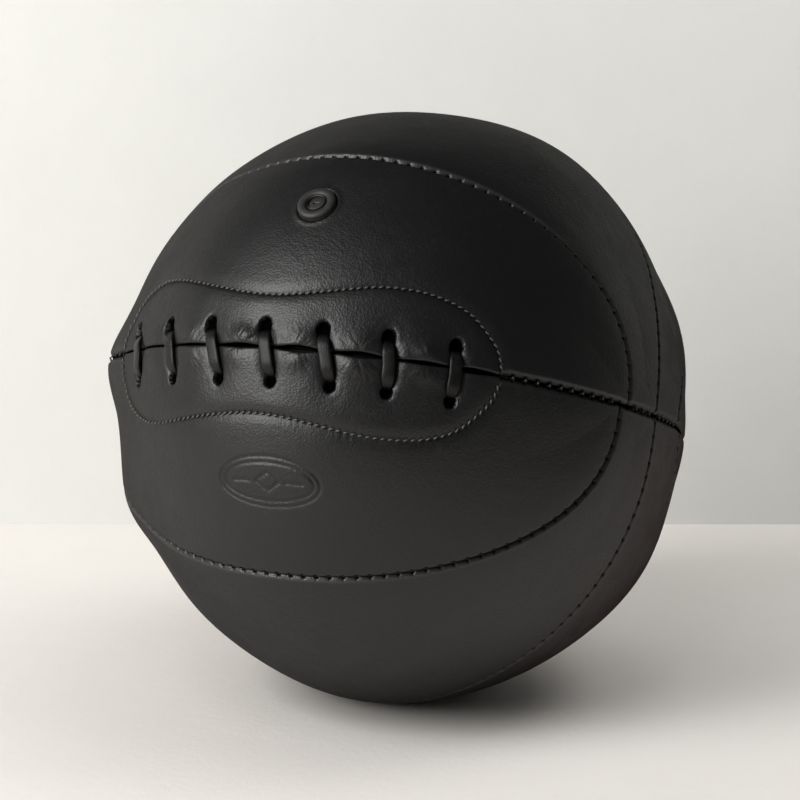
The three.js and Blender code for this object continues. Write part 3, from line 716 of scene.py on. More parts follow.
class Shader:
    """A material and its nodes."""

    def __init__(self, name, **constants):
        self.material = bpy.data.materials.new(name)
        self.material.use_nodes = True
        self.nodes, self.links = self.material.node_tree.nodes, self.material.node_tree.links
        self.surface = self.nodes["Principled BSDF"]
        self.place = self.node("ShaderNodeTexCoord", output="Object")
        self.set(self.surface, {key.replace("_", " "): value for key, value in constants.items()})

    def set(self, node, sockets):
        for key, value in sockets.items():
            if isinstance(value, Value):
                self.links.new(value.socket, node.inputs[key])
            else:
                node.inputs[key].default_value = value

    def node(self, kind, settings=None, sockets=None, output=0):
        """Makes a node: its settings first, a ramp's stops among them, then its sockets."""
        node = self.nodes.new(kind)
        for key, value in (settings or {}).items():
            if key == "stops":
                ramp = node.color_ramp.elements
                ramp[0].position, ramp[0].color = value[0]
                ramp[1].position, ramp[1].color = value[-1]
                for position, color in value[1:-1]:
                    ramp.new(position).color = color
            else:
                setattr(node, key, value)
        self.set(node, sockets or {})
        return Value(self, node.outputs[output])

    def noise(self, scale, detail=3.0, roughness=0.5, place=None):
        sockets = {"Vector": place or self.place, "Scale": scale, "Detail": detail, "Roughness": roughness}
        return self.node("ShaderNodeTexNoise", {}, sockets)

    def cells(self, scale, place):
        return self.node("ShaderNodeTexVoronoi", {}, {"Vector": place, "Scale": scale})

    def warped(self, amount, scale):
        """The piece's coordinates, shifted a little by a noise."""
        shift = self.node("ShaderNodeTexNoise", {}, {"Vector": self.place, "Scale": scale}, output="Color")
        shift = self.node("ShaderNodeVectorMath", {"operation": "SUBTRACT"}, {0: shift, 1: (0.5, 0.5, 0.5)})
        shift = self.node("ShaderNodeVectorMath", {"operation": "SCALE"}, {0: shift, "Scale": amount})
        return self.node("ShaderNodeVectorMath", {"operation": "ADD"}, {0: self.place, 1: shift})

    def mix(self, factor, first, second):
        colours = {0: factor, 6: self.colour(first), 7: self.colour(second)}
        return self.node("ShaderNodeMix", {"data_type": "RGBA"}, colours, output=2)

    @staticmethod
    def colour(value):
        return value if isinstance(value, Value) or len(value) == 4 else (*value, 1.0)

    def field(self, name):
        """A number stored on the piece's vertices."""
        return self.node("ShaderNodeAttribute", {"attribute_name": name}, output="Fac")

    def axis(self, index):
        """One of the piece's coordinates."""
        return self.node("ShaderNodeSeparateXYZ", {}, {"Vector": self.place}, output=index)

    def bump(self, height, strength, distance):
        return self.node("ShaderNodeBump", {}, {"Height": height, "Strength": strength, "Distance": distance})

    def dulled(self, factor, colour):
        """Mixes in a dull finish that reflects no highlights."""
        sockets = {"Base Color": self.colour(colour), "Roughness": 1.0, "Specular IOR Level": 0.0}
        dull = self.node("ShaderNodeBsdfPrincipled", {}, sockets)
        shiny = Value(self, self.surface.outputs[0])
        both = self.node("ShaderNodeMixShader", {}, {0: factor, 1: shiny, 2: dull})
        self.set(self.nodes["Material Output"], {"Surface": both})

    def finish(self, **sockets):
        self.set(self.surface, {key.replace("_", " "): value for key, value in sockets.items()})
        return self.material


# Tones that the leather takes: scuffed, worn with a painted sheen, and painted shade in crevices and holes. Tones
# of its dull finish: plain, brown with a painted warm bounce, and the darkest painted shade.
SCUFFED, WORN_AND_SHEEN, CREVICE = (0.04, 0.037, 0.034), (0.034, 0.031, 0.029), (0.0012, 0.0011, 0.001)
DULL, DULL_WARM, DARKEST = (0.0035, 0.0031, 0.003), (0.017, 0.0078, 0.0072), (0.001, 0.0008, 0.0008)


def leather_finish(colours):
    """Black full-grain leather: soft grain and pores, brown patches with a painted warm bounce, worn seam crowns
    with a painted sheen, painted shade in crevices and holes, dull at its limb.
    """
    shader = Shader("ball_leather", IOR=1.45)
    drift = shader.warped(0.0012, 420.0)
    pebble = shader.cells(1150.0, drift)
    pores = 1 - shader.cells(1900.0, drift).between(0.02, 0.24)
    fine = shader.noise(2600.0, 2.0)
    patches = shader.noise(16.0, 4.0, 0.6)
    clouds = shader.noise(70.0, 5.0, 0.65)
    hide = shader.noise(190.0, 4.0, 0.6)
    scuffs = shader.noise(240.0, 6.0, 0.7).between(0.56, 0.72)
    # Worn seam crowns, lighter with a painted sheen, and painted shade in crevices, stitch slots, the slit and the
    # holes.
    rim, crevice = shader.field("rim"), shader.field("crevice")
    # Random brown patches, and a painted warm reflection of bounce light towards the ball's right and back, and
    # underneath.
    rightward = shader.axis(0) * 4.0 + shader.axis(1) * 4.0
    brown_and_bounce = (patches * 0.6 + clouds * 0.3 + rightward - shader.axis(2) * 2.5).between(0.42, 0.85)
    colour = shader.mix(brown_and_bounce, colours.leather, colours.leather_brown_and_bounce)
    for mask, tone in ((scuffs * 0.12, SCUFFED), (rim * 0.75, WORN_AND_SHEEN), (crevice, CREVICE)):
        colour = shader.mix(mask, colour, tone)
    rough = 0.30 + clouds * 0.16 + pebble * 0.06 - rim * 0.08 + scuffs * 0.06
    height = pebble * 0.6 + fine * 0.2 - pores * 0.35 + hide * 1.2
    limb = shader.node("ShaderNodeLayerWeight", {}, {"Blend": 0.5}, output="Facing").between(0.3, 0.92)
    # Dull finish: the darkest painted shade in crevices and holes; at the limb it is plain, or brown where the
    # painted warm bounce lies.
    dull = shader.mix(crevice, shader.mix(brown_and_bounce, DULL, DULL_WARM), DARKEST)
    shader.dulled(crevice.highest(limb * (brown_and_bounce * 0.32 + 0.52)), dull)
    relief = shader.bump(height, 0.5, 0.00024)
    return shader.finish(Base_Color=colour, Roughness=rough + limb * 0.15, Normal=relief)


def lace_finish(colours):
    """Narrow strap leather: a smooth face with fine streaks along it and scuffed edges, and painted shade where it
    sinks into the holes.
    """
    shader = Shader("lace_leather", IOR=1.36)
    across, along, deep = shader.field("across"), shader.field("along"), shader.field("deep")
    strip = shader.node("ShaderNodeCombineXYZ", {}, {"X": across * 3.0, "Y": along * 90.0, "Z": 0.0})
    streaks = shader.noise(4.0, 4.0, 0.65, place=strip)
    grain = shader.cells(1500.0, shader.warped(0.0008, 600.0))
    scuffs = shader.noise(320.0, 5.0, 0.7).between(0.5, 0.66)
    colour = shader.mix(scuffs * 0.2, colours.lace, (0.03, 0.028, 0.026))
    colour = shader.mix(streaks.between(0.55, 0.75) * 0.4, colour, (0.02, 0.019, 0.018))
    height = grain * 0.25 + streaks * 1.1
    # Painted shade where the lace sinks into the holes: darker and dull there, and a little dull all along.
    shader.dulled(deep * 0.85 + 0.15, (0.0025, 0.0023, 0.0022))
    relief = shader.bump(height, 0.4, 0.0002)
    return shader.finish(Base_Color=colour, Roughness=0.3 + streaks * 0.2, Normal=relief)


def thread_finish(name, colour, roughness):
    """Waxed twisted thread."""
    shader = Shader(name, IOR=1.5)
    ply = shader.noise(2400.0, 3.0, 0.6)
    tone = shader.mix(ply.between(0.35, 0.7) * 0.5, colour, tuple(0.45 * c for c in colour))
    relief = shader.bump(ply, 0.5, 0.0001)
    return shader.finish(Base_Color=tone, Roughness=roughness + ply * 0.15, Normal=relief)


def rubber_finish(colours):
    """Moulded black rubber with a slightly chalky bloom, and painted shade in its hollows and slit."""
    shader = Shader("valve_rubber", IOR=1.52)
    bloom = shader.noise(420.0, 5.0, 0.65)
    fine = shader.noise(2400.0, 2.0)
    crevice = shader.field("crevice")
    colour = shader.mix(bloom.between(0.45, 0.75) * 0.35, colours.rubber, (0.035, 0.034, 0.032))
    # Painted shade in the ring's bore, on the button's sunken stem and in the slit.
    colour = shader.mix(crevice, colour, (0.002, 0.002, 0.002))
    relief = shader.bump(fine * 0.6 + bloom * 0.4, 0.22, 0.0001)
    return shader.finish(Base_Color=colour, Roughness=0.46 + bloom * 0.2, Normal=relief)


def fabric_finish(name, colour, scale):
    """Plain fibrous or woven finish for the pieces inside."""
    shader = Shader(name, Specular_IOR_Level=0.15)
    weave = shader.cells(scale, shader.warped(0.0006, 300.0))
    lint = shader.noise(scale * 0.4, 5.0, 0.7)
    tone = shader.mix(lint.between(0.3, 0.75), tuple(0.7 * c for c in colour), colour)
    relief = shader.bump(weave + lint, 0.4, 0.0003)
    return shader.finish(Base_Color=tone, Roughness=0.9 - weave * 0.1, Normal=relief)


def plaster_finish(name, tint):
    """Pale plaster with a faint mottling, clear from behind so that the ball's back can be looked at."""
    shader = Shader(name)
    front = 1 - shader.node("ShaderNodeNewGeometry", output="Backfacing")
    mottle = shader.noise(9.0, 6.0, 0.7)
    specks = shader.noise(170.0, 6.0, 0.75)
    tone = shader.mix(mottle.between(0.3, 0.7) * 0.6, tint, tuple(0.95 * c for c in tint))
    tone = shader.mix(specks.between(0.58, 0.75) * 0.3, tone, tuple(0.88 * c for c in tint))
    relief = shader.bump(specks + mottle * 2, 0.13, 0.0016)
    return shader.finish(Base_Color=tone, Roughness=0.7 + mottle * 0.1, Alpha=front, Normal=relief)


# ---- Pieces ----

# Distances of a panel's closest rows of vertices from its edge, and how many rows its back has.
EDGE_ROWS = np.array([0.05, 0.16, 0.34, 0.6, 0.9, 1.25, 1.65, 2.1, 2.6, 3.2, 4.1, 5.6]) * MM
BACK_ROWS = 9
# How far the rows of a back stand under its nominal depth.
BACK_DROP = 0.0006
# Columns of a crescent and of each oval panel.
CRESCENT_COLUMNS, BACK_COLUMNS, FRONT_COLUMNS = 860, 760, {1: 830, -1: 770}
# Rows near the slit of a front panel stand this far apart, out to this distance.
SLIT_ROW_STEP, SLIT_ROWS_END = 0.62, 29.5
# Beyond those, where the rows crowd round the valve or the mark: shares of the width, and how many.
CROWDED_ROWS = {1: (0.36, 0.78, 30), -1: (0.17, 0.59, 44)}


def spread_rows(width, near, fractions, far):
    """Distances across a panel, row by row for each column: fixed ones at the edges, shares between."""
    wide = near[-1] + far[-1]
    fit = np.minimum(1.0, 0.9 * width / wide)[:, None]
    start, end = near[-1] * fit, width[:, None] - far[-1] * fit
    middle = start + (end - start) * fractions
    return np.hstack([near * fit, middle, width[:, None] - far[::-1] * fit])


def finished_panel(surface, name, ways, height, fields, material):
    """Closed leather panel from directions and heights across it, with a fine face and a plain back."""
    rows = ways.shape[1]
    back = np.linspace(rows - 1, 0, BACK_ROWS).round().astype(int)
    ring = np.concatenate([np.arange(rows), back, [0]])
    floor = np.full((len(height), BACK_ROWS), -surface.form.leather - BACK_DROP)
    heights = np.concatenate([height, floor, height[:, :1]], axis=1)
    points = surface.placed(surface.skin(ways[:, ring], heights))
    fields = {key: values[:, ring] for key, values in fields.items()}
    mesh = grid_mesh(name, *points.shape[:2], points, fields)
    closed(mesh)
    piece(f"leather_{name}", mesh, material, [f"{name}_panel"])


def worn_and_sheen(distance, seam):
    """Where the crown of a rolled edge beside a seam is worn, polished and lighter with a painted sheen, from 0 to
    1.
    """
    return bell(distance - SEAMS[seam][1] - 0.0013, 0.0008)


class BALL_OT_panels(bpy.types.Operator):
    """Builds the eight leather panels with their rolled and stitched edges."""

    bl_idname = "ball.panels"
    bl_label = "Leather Panels"

    def execute(self, context):
        surface = Surface(context.scene)
        material = leather_finish(context.scene.ball_finishes)
        for face, half, middle, side in FACES:
            self.oval_panel(surface, material, face, half, math.radians(middle), side)
            self.crescent(surface, material, face, half, math.radians(middle), side)
        return {"FINISHED"}

    def oval_panel(self, surface, material, face, half, middle, side):
        front = face == "front"
        oval = surface.ovals[face, half]
        share = np.linspace(0.003, 0.997, FRONT_COLUMNS[side] if front else BACK_COLUMNS)
        at = share * (len(oval["run"]) - 1)
        x, top = (np.interp(at, np.arange(len(oval["run"])), oval["map"][:, k]) for k in range(2))
        width = top * surface.radius
        if front:
            near = np.concatenate([EDGE_ROWS[:9], np.arange(3.1, SLIT_ROWS_END, SLIT_ROW_STEP) * MM])
            low, high, count = CROWDED_ROWS[side]
            crowd = np.linspace(low, high, count)
            fractions = np.concatenate([np.linspace(0, low, 5)[1:-1], crowd, np.linspace(high, 1, 6)[1:-1]])
        else:
            near, fractions = EDGE_ROWS, np.linspace(0, 1, 26)[1:-1]
        rows = spread_rows(width, near, fractions, EDGE_ROWS)
        ways = mapped(middle, x[:, None] + 0 * rows, side * rows / surface.radius)
        ways, girdle, along = surface.at_girdle(ways)
        ways, away, run = surface.at_line(oval, ways)
        sewn = surface.stitched(along) if front else np.ones_like(along)
        edge = surface.rolled(away, run, (face, half), flat=True)
        roll = np.minimum(surface.rolled(girdle, along, "girdle", sewn), edge)
        height = surface.broad(ways, np.minimum(girdle, away)) + roll
        # Painted shade: dark in the open slit, the stitches' slots and the crevices, and below it in the lace and
        # valve holes.
        slit = (1 - sewn) * (1 - smoothstep(0.0002, 0.0006, girdle))
        slots = np.maximum(surface.slots(girdle, along, "girdle") * sewn, surface.slots(away, run, (face, half)))
        crevice = np.maximum(slots, slit)
        if front:
            shift = (1 - sewn) * surface.gape(along / surface.radius) * np.exp(-girdle / LIP_FADE)
            relief, pits = surface.lacing_form(ways, side)
            height += relief
            ways = unit(ways + side * np.array([0, 0, 1.0]) * (shift / surface.radius)[..., None])
            if side > 0:
                relief, pit = surface.valve_form(ways)
                height += relief
                pits = np.maximum(pits, pit)
            else:
                height += surface.emblem_form(ways)
            crevice = np.maximum(crevice, pits)
        # Worn crowns at the girdle, lighter with a painted sheen.
        fields = {"rim": 0.5 * worn_and_sheen(girdle, "girdle") * sewn, "crevice": crevice}
        finished_panel(surface, f"{face}_{half}_oval", ways, height, fields, material)

    def crescent(self, surface, material, face, half, middle, side):
        oval = surface.ovals[face, half]
        ends = EDGE_ROWS[:9] / oval["length"]
        between = np.linspace(ends[-1], 1 - ends[-1], CRESCENT_COLUMNS)[1:-1]
        share = np.concatenate([ends, between, 1 - ends[::-1]])
        at = share * (len(oval["run"]) - 1)
        steps = np.arange(len(oval["run"]))
        start = unit(np.stack([np.interp(at, steps, oval["ways"][:, k]) for k in range(3)], -1))
        end = surface.hoop(share if face == "front" else 1 - share, side)
        angle = np.arccos(np.clip((start * end).sum(1), -1, 1))
        rows = spread_rows(angle * surface.radius, EDGE_ROWS, np.linspace(0, 1, 34)[1:-1], EDGE_ROWS)
        part = rows / surface.radius
        whole = np.sin(angle)[:, None, None]
        ways = np.sin(angle[:, None] - part)[..., None] * start[:, None] / whole
        ways = ways + np.sin(part)[..., None] * end[:, None] / whole
        ways[..., 2] = side * np.maximum(side * ways[..., 2], 0.0004)
        ways = unit(ways)
        ways, away, run = surface.at_line(oval, ways)
        ways, hoop, round_hoop = surface.at_hoop(ways)
        ways, girdle, along = surface.at_girdle(ways)
        nearest = np.minimum(np.minimum(girdle, hoop), away)
        edges = [(girdle, along, "girdle"), (hoop, round_hoop, "hoop"), (away, run, (face, half))]
        rolls = [surface.rolled(*edge, flat=edge[2] == "hoop") for edge in edges]
        height = surface.broad(ways, nearest) + np.min(rolls, axis=0)
        # Painted shade in the crevices and the stitches' slots.
        crevice = np.max([surface.slots(*edge) for edge in edges], axis=0)
        # Worn crowns with a painted sheen: full at the oval's edge, less at the hoop and the girdle.
        others = 0.4 * np.maximum(worn_and_sheen(hoop, "hoop"), worn_and_sheen(girdle, "girdle"))
        fields = {"rim": np.maximum(worn_and_sheen(away, (face, half)), others), "crevice": crevice}
        finished_panel(surface, f"{face}_{half}_crescent", ways, height, fields, material)


# A seam's cord: its radius, how far under the crevice it lies, the share of the crevice's depth at
# which the stitches lie, and their length.
OPEN_CORD = (0.0008, 0.0011, 0.35, 0.0012)
CLOSED_CORD = (0.00045, 0.0002, 1.1, 0.0012)
STITCH_RADIUS, STITCH_LEAN = 0.00042, 0.35


class BALL_OT_seam_threads(bpy.types.Operator):
    """Builds the waxed thread of every seam: a cord in the crevice and the stitches across it."""

    bl_idname = "ball.seam_threads"
    bl_label = "Seam Threads"

    def execute(self, context):
        surface = Surface(context.scene)
        colours = context.scene.ball_finishes
        material = thread_finish("seam_thread", colours.thread, 0.7)
        # Painted glints: the girdle's stitches take a paler thread colour that stands in for highlights on the
        # black waxed thread.
        painted_glint = thread_finish("girdle_thread", tuple(0.4 * c for c in colours.silver), 0.25)
        seams, lacing = surface.seams, surface.lacing
        clear = math.radians(1.0)
        back = math.radians(FACES[2][2])
        full = 2 * math.pi
        girdle = {
            "front_left": (-seams.lower_length + clear, lacing.left - clear),
            "front_right": (lacing.right + clear, seams.lower_length - clear),
            "right_front": (seams.upper_length + clear, seams.hoop_turn - clear),
            "right_back": (seams.hoop_turn + clear, back - seams.upper_length - clear),
            "back": (back - seams.lower_length + clear, back + seams.lower_length - clear),
            "left_back": (back + seams.upper_length + clear, seams.hoop_turn + math.pi - clear),
            "left_front": (seams.hoop_turn + math.pi + clear, full - seams.upper_length - clear),
        }
        for name, (low, high) in girdle.items():
            lons = np.linspace(low, high, max(8, int((high - low) * surface.radius / 0.0015)))
            runs = ((lons + math.pi) % full - math.pi) * surface.radius
            ways = direction(lons, 0.0)
            self.thread(surface, material, f"girdle_thread_{name}", ways, runs, "girdle", painted_glint)
        for face, half, _, _ in FACES:
            oval = surface.ovals[face, half]
            inside = slice(24, -24, 10)
            ways, runs = oval["ways"][inside], oval["run"][inside]
            self.thread(surface, material, f"{face}_{half}_oval_thread", ways, runs, (face, half))
        for half, side in (("upper", 1), ("lower", -1)):
            share = np.linspace(0.006, 0.994, 260)
            ways = surface.hoop(share, side)
            runs = surface.hoop_fields(ways)[1]
            self.thread(surface, material, f"hoop_thread_{half}", ways, runs, "hoop")
        return {"FINISHED"}

    def thread(self, surface, material, node, ways, runs, seam, painted_glint=None):
        """One seam's thread along directions, with the run at each. Its stitches may take a paler colour that
        paints glints on them.
        """
        pitch, depth, gap = surface.seams.pitch, surface.seams.roll_depth, SEAMS[seam][1]
        cord, cord_drop, lift, stitch = OPEN_CORD if seam == "girdle" else CLOSED_CORD
        points = surface.skin(ways, surface.broad(ways, np.zeros(len(ways))) - depth - cord_drop)
        up = surface.normal(ways)
        aside = np.cross(up, unit(np.gradient(points, axis=0)))
        size = np.full(len(ways), cord)
        mesh = swept(node, surface, points, aside, up, size, size, 8, square=1.0)
        order = np.sign(runs[-1] - runs[0])
        turns = np.unwrap(runs / surface.radius) * surface.radius
        first, last = sorted((turns[0], turns[-1]))
        at = (np.arange(math.ceil(first / pitch - 0.4), math.floor(last / pitch - 0.6) + 1) + 0.5) * pitch
        if len(at):
            spots, along = (
                np.stack([np.interp(order * at, order * turns, values[:, k]) for k in range(3)], -1)
                for values in (ways, aside)
            )
            spots = unit(spots)
            bm = bmesh.new()
            bm.from_mesh(mesh)
            cord_faces = len(bm.faces)
            height = surface.broad(spots, np.zeros(len(spots))) - depth * lift
            across = stitch if seam == "girdle" else 2 * gap + stitch
            beads(bm, surface, spots, along, height, across, STITCH_RADIUS, STITCH_LEAN)
            bm.faces.ensure_lookup_table()
            for face in bm.faces[cord_faces:]:
                face.material_index = 1 if painted_glint else 0
            bm.to_mesh(mesh)
            bm.free()
        piece(f"thread_{node.replace('_thread', '')}", mesh, material, [node])
        if painted_glint:
            mesh.materials.append(painted_glint)


class BALL_OT_facing_stitching(bpy.types.Operator):
    """Builds the fine stitching that holds the facing behind the lace holes."""

    bl_idname = "ball.facing_stitching"
    bl_label = "Facing Stitching"

    def execute(self, context):
        surface = Surface(context.scene)
        material = thread_finish("facing_thread", context.scene.ball_finishes.silver, 0.26)
        for half in ("upper", "lower"):
            line = surface.line[half]
            step = surface.lacing.stitch
            at = np.arange(0.5 * step, line["length"] - 0.4 * step, step)
            ways = np.stack([np.interp(at, line["run"], line["ways"][:, k]) for k in range(3)], -1)
            ways /= np.linalg.norm(ways, axis=1, keepdims=True)
            runs = np.gradient(surface.skin(ways), axis=0)
            height = surface.broad(ways, surface.girdle_fields(ways)[0]) - 0.00022
            height = height + 0.00018 * jitter(np.arange(len(ways)), 3.0)
            bm = bmesh.new()
            beads(bm, surface, ways, runs, height, step * 0.74, 0.00036, 0.42)
            mesh = bpy.data.meshes.new(f"stitching_{half}")
            bm.to_mesh(mesh)
            bm.free()
            node = f"facing_stitching_{half}"
            piece(f"stitching_facing_{half}", mesh, material, [node])
        return {"FINISHED"}


class BALL_OT_lace(bpy.types.Operator):
    """Builds the one flat lace that runs through all the holes."""

    bl_idname = "ball.lace"
    bl_label = "Lace"

    def execute(self, context):
        surface = Surface(context.scene)
        lacing = surface.lacing
        knots = self.knots(surface)
        line = catmull(knots, 7)
        ways = direction(line[:, 0], line[:, 1])
        points = surface.skin(ways, line[:, 2])
        run = unit(np.gradient(points, axis=0))
        girdle = unit(np.stack([-ways[:, 1], ways[:, 0], np.zeros(len(ways))], -1))
        wide = unit(girdle - run * (girdle * run).sum(1)[:, None])
        thick = np.cross(wide, run)
        half_width, half_thickness = line[:, 3] / 2, np.full(len(line), lacing.thickness / 2)
        # How far the lace has sunk below the skin, for its painted shade in the holes.
        deep = {"deep": 1 - smoothstep(-0.0022, -0.0002, line[:, 2])}
        mesh = swept("lace", surface, points, wide, thick, half_width, half_thickness, 20, extra=deep)
        piece("lace_leather", mesh, lace_finish(context.scene.ball_finishes), ["lace"])
        return {"FINISHED"}

    def knots(self, surface):
        """Places that the lace runs through: longitude, latitude, height above the skin and width."""
        lacing = surface.lacing
        crown, under = 0.0004, -0.0098
        middle = (lacing.upper + lacing.lower) / 2
        half = (lacing.upper - lacing.lower) / 2 - 0.0015 / surface.radius
        wide, pinched = lacing.width, lacing.width * 0.72
        pitch = lacing.pitch
        bars = surface.bar_lons()
        # One bar from its top to its middle: share of the half length, height and width.
        arch = [
            (0.75, under, wide), (0.99, under + 0.0023, pinched), (1.02, -0.0046, pinched),
            (0.98, -0.0027, pinched), (0.84, -0.0010, 0.86 * wide), (0.5, 0.0003, wide),
        ]
        knots = [(bars[0] - 0.85 * pitch, middle - half * 0.8, under, wide)]
        knots.append((bars[0] - pitch / 2, middle, under, wide))
        for bar, upper, lower in zip(bars, surface.hole_lons(1), surface.hole_lons(-1)):
            centre = bar + (upper + lower - 2 * bar) * 0.35
            for share, high, width in arch:
                knots.append((centre + (upper - centre) * share, middle + half * share, high, width))
            knots.append((centre, middle, crown, wide))
            for share, high, width in arch[::-1]:
                knots.append((centre + (lower - centre) * share, middle - half * share, high, width))
            knots.append((lower + pitch / 2, middle, under, wide))
        knots.append((bars[-1] + 0.85 * pitch, middle + half * 0.8, under, wide))
        return np.array(knots)


class BALL_OT_valve(bpy.types.Operator):
    """Builds the rubber valve body and the slit button of its core."""

    bl_idname = "ball.valve"
    bl_label = "Valve"

    # Profiles: radius and height over the skin, in millimetres.
    RING = [
        (4.1, -1.6), (4.05, -0.5), (4.15, 0.05), (4.45, 0.42), (5.0, 0.66), (5.8, 0.74), (6.6, 0.62),
        (7.15, 0.32), (7.45, -0.1), (7.5, -0.9), (7.45, -2.6), (4.6, -2.9), (4.6, -36.0), (3.3, -36.0),
        (3.3, -2.0), (4.1, -1.6),
    ]
    BUTTON = [
        (0.0, -0.2), (1.4, -0.21), (2.6, -0.3), (3.25, -0.5), (3.55, -0.9), (3.55, -1.35), (3.0, -1.7),
        (3.0, -9.0), (0.0, -9.2),
    ]
    # The slit in millimetres: half width where it is pressed and where its painted shade lies, where its
    # ends start to rise, where they close, and its depth.
    SLIT_PRESS, SLIT_DARK, SLIT_END, SLIT_CLOSED, SLIT_DEPTH = 0.34, 0.32, 0.9, 1.35, 0.7

    def execute(self, context):
        surface = Surface(context.scene)
        material = rubber_finish(context.scene.ball_finishes)
        way = direction(surface.valve.lon, surface.valve.lat)
        spot = surface.placed(surface.skin(way)[None])[0]
        out = Vector(surface.turn @ (surface.skin(way) / np.linalg.norm(surface.skin(way))))
        place = Matrix.Translation(Vector(spot)) @ out.to_track_quat("Z", "Y").to_matrix().to_4x4()
        pieces = (("valve_ring", self.RING, "valve_body"), ("valve_button", self.BUTTON, "valve_core"))
        for name, profile, node in pieces:
            mesh = self.turned(name, profile, name == "valve_button")
            mesh.transform(place)
            piece(name, mesh, material, [node])
        return {"FINISHED"}

    def turned(self, name, profile, slit):
        """Spins a profile given in millimetres and presses the slit into the button."""
        bm = bmesh.new()
        fine = catmull(np.array(profile), 8 if slit else 6)
        verts = [bm.verts.new((max(r, 0.0) * MM, 0.0, z * MM)) for r, z in fine]
        line = [*verts, *(bm.edges.new(pair) for pair in zip(verts, verts[1:]))]
        whole = 2 * math.pi
        bmesh.ops.spin(bm, geom=line, cent=(0, 0, 0), axis=(0, 0, 1), angle=whole, steps=72, use_merge=True)
        bmesh.ops.remove_doubles(bm, verts=bm.verts, dist=2e-6)
        if slit:
            for vert in bm.verts:
                x, y, z = vert.co / MM
                if z > -2.0:
                    ends = 1 - float(smoothstep(self.SLIT_END, self.SLIT_CLOSED, abs(x)))
                    vert.co.z -= self.SLIT_DEPTH * math.exp(-((y / self.SLIT_PRESS) ** 2)) * ends * MM
        bmesh.ops.recalc_face_normals(bm, faces=bm.faces)
        mesh = bpy.data.meshes.new(name)
        bm.to_mesh(mesh)
        bm.free()
        # The crevice field holds the painted shade in the valve's hollows and slit.
        deep = mesh.attributes.new("crevice", "FLOAT", "POINT")
        deep.data.foreach_set("value", [self.recess_shade(*(vert.co / MM), slit) for vert in mesh.vertices])
        return mesh

    def recess_shade(self, x, y, z, slit):
        """How much painted shade darkens the rubber at a place in millimetres, from 0 to 1."""
        if not slit:
            return 0.9 if z < -0.5 and math.hypot(x, y) < 4.3 else 0.0
        if z <= -2.0:
            return 0.8
        return math.exp(-((y / self.SLIT_DARK) ** 2)) if abs(x) < 1.25 else 0.0


class BALL_OT_inside(bpy.types.Operator):
    """Gives the pieces inside the ball their finishes."""

    bl_idname = "ball.inside"
    bl_label = "Inner Pieces"

    LOOKS = {
        "lining": ("lining_canvas", (0.010, 0.009, 0.008), 1300.0),
        "facing": ("facing_leather", (0.006, 0.005, 0.0046), 900.0),
        "tongue": ("tongue_leather", (0.004, 0.0036, 0.0034), 900.0),
        "felt": ("pressed_felt", (0.03, 0.028, 0.026), 600.0),
        "bladder": ("bladder_gum", (0.06, 0.03, 0.028), 300.0),
    }

    def execute(self, context):
        for key, (name, colour, scale) in self.LOOKS.items():
            material = fabric_finish(name, colour, scale)
            for node, obj in NODES.items():
                if key in node and "stitching" not in node:
                    for slot in obj.material_slots:
                        slot.material = material
        return {"FINISHED"}


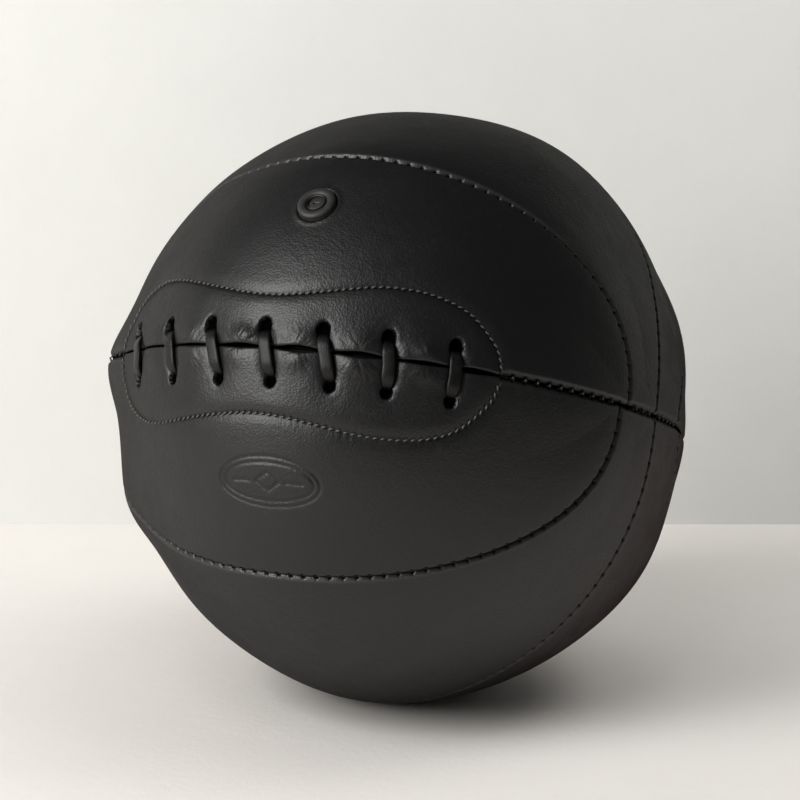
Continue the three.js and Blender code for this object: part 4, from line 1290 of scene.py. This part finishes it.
class BALL_OT_stage(bpy.types.Operator):
    """Sets the floor, the soft lights and the camera."""

    bl_idname = "ball.stage"
    bl_label = "Stage"

    # Soft lights: name, place from the ball's centre to the camera's right, up and towards the camera in
    # metres, width, height, power in watts, colour and what it is aimed at, in the same frame.
    LIGHTS = [
        ("window", (-0.98, 0.5, 0.76), 0.62, 1.0, 21.0, (1.0, 0.99, 0.975), (0.0, 0.0, 0.0)),
        ("wall_fill", (0.4, 0.9, 0.3), 0.7, 0.7, 3.0, (0.97, 0.99, 1.0), (0.5, 0.1, -0.27)),
        ("front_fill", (-0.3, 0.8, 0.9), 0.6, 0.6, 3.6, (1.0, 0.99, 0.98), (-0.15, -0.3, 0.4)),
        ("floor_fill", (0.75, 0.95, 0.15), 0.5, 0.5, 2.4, (1.0, 0.985, 0.97), (0.32, -0.12, 0.0)),
    ]
    # How far behind the ball's centre the wall stands, and how high it is.
    WALL_BEHIND, WALL_TOP = 0.27, 0.42
    ROOM_COLOUR, ROOM_STRENGTH = (0.93, 0.95, 0.96, 1.0), 0.11

    def execute(self, context):
        scene = context.scene
        surface = Surface(scene)
        form = scene.ball_stage
        middle = Vector(surface.centre)
        out = Vector((math.sin(form.azimuth), -math.cos(form.azimuth), 0)) * math.cos(form.elevation)
        out.z = math.sin(form.elevation)
        right = Vector((math.cos(form.azimuth), math.sin(form.azimuth), 0))
        up = out.cross(right)

        bm = bmesh.new()
        bmesh.ops.create_grid(bm, x_segments=8, y_segments=8, size=6.0)
        self.backdrop(context, "floor", bm, plaster_finish("floor_plaster", scene.ball_finishes.floor))
        bm = bmesh.new()
        level = Vector((out.x, out.y, 0)).normalized()
        stand = Matrix((right, Vector((0, 0, 1)), level)).transposed().to_4x4()
        place = Matrix.Translation(Vector((middle.x, middle.y, 0)) - level * self.WALL_BEHIND)
        bmesh.ops.create_grid(bm, x_segments=8, y_segments=8, size=6.0, matrix=place @ stand)
        for level, cut in ((0.0, {"clear_inner": True}), (self.WALL_TOP, {"clear_outer": True})):
            faces = [*bm.verts, *bm.edges, *bm.faces]
            bmesh.ops.bisect_plane(bm, geom=faces, plane_co=(0, 0, level), plane_no=(0, 0, 1), **cut)
        self.backdrop(context, "wall", bm, plaster_finish("wall_plaster", scene.ball_finishes.wall))

        backdrop = bpy.data.collections.new("backdrop")
        for name in ("floor", "wall"):
            backdrop.objects.link(bpy.data.objects[name])
        for name, place, wide, high, power, colour, aim in self.LIGHTS:
            light = bpy.data.lights.new(name, "AREA")
            light.shape, light.size, light.size_y = "RECTANGLE", wide, high
            light.energy, light.color = power, colour
            lamp = bpy.data.objects.new(name, light)
            lamp.location = middle + right * place[0] + up * place[1] + out * place[2]
            aimed = middle + right * aim[0] + up * aim[1] + out * aim[2]
            lamp.rotation_euler = (aimed - lamp.location).to_track_quat("-Z", "Y").to_euler()
            context.collection.objects.link(lamp)
            if name.endswith("fill"):
                lamp.light_linking.receiver_collection = backdrop
        world = bpy.data.worlds.new("soft_room")
        world.use_nodes = True
        room = world.node_tree.nodes["Background"].inputs
        room["Color"].default_value, room["Strength"].default_value = self.ROOM_COLOUR, self.ROOM_STRENGTH
        scene.world = world
        scene.view_settings.view_transform = "Standard"

        lens = bpy.data.cameras.new("camera")
        lens.lens, lens.sensor_width = form.lens, 36.0
        camera = bpy.data.objects.new("camera", lens)
        camera.location = middle + out * form.distance - right * form.aside + up * form.under
        camera.rotation_euler = Matrix((right, up, out)).transposed().to_euler()
        context.collection.objects.link(camera)
        scene.camera = camera
        return {"FINISHED"}

    def backdrop(self, context, name, bm, material):
        mesh = bpy.data.meshes.new(name)
        bm.to_mesh(mesh)
        bm.free()
        obj = bpy.data.objects.new(name, mesh)
        context.collection.objects.link(obj)
        mesh.materials.append(material)


class BALL_PT_sidebar(bpy.types.Panel):
    """Lists the ball's pieces and their settings."""

    bl_label = "Medicine Ball"
    bl_idname = "BALL_PT_sidebar"
    bl_space_type = "VIEW_3D"
    bl_region_type = "UI"
    bl_category = "Ball"

    def draw(self, context):
        for operator in OPERATORS:
            self.layout.operator(operator.bl_idname)
        for name in SETTINGS:
            box = self.layout.box()
            group = getattr(context.scene, name)
            for key in group.__annotations__:
                box.prop(group, key)


SETTINGS = {
    "ball_form": BallForm,
    "ball_seams": SeamForm,
    "ball_lacing": LacingForm,
    "ball_valve": ValveForm,
    "ball_finishes": Finishes,
    "ball_stage": StageForm,
}
OPERATORS = [
    BALL_OT_stage,
    BALL_OT_panels,
    BALL_OT_seam_threads,
    BALL_OT_facing_stitching,
    BALL_OT_lace,
    BALL_OT_valve,
    BALL_OT_inside,
]


def register():
    for cls in (*SETTINGS.values(), *OPERATORS, BALL_PT_sidebar):
        bpy.utils.register_class(cls)
    for name, cls in SETTINGS.items():
        setattr(bpy.types.Scene, name, bpy.props.PointerProperty(type=cls))


def unregister():
    for name in SETTINGS:
        delattr(bpy.types.Scene, name)
    for cls in (BALL_PT_sidebar, *reversed(OPERATORS), *SETTINGS.values()):
        bpy.utils.unregister_class(cls)


def main():
    register()
    for operator in OPERATORS:
        group, name = operator.bl_idname.split(".")
        getattr(getattr(bpy.ops, group), name)()


if __name__ == "__main__":
    main()
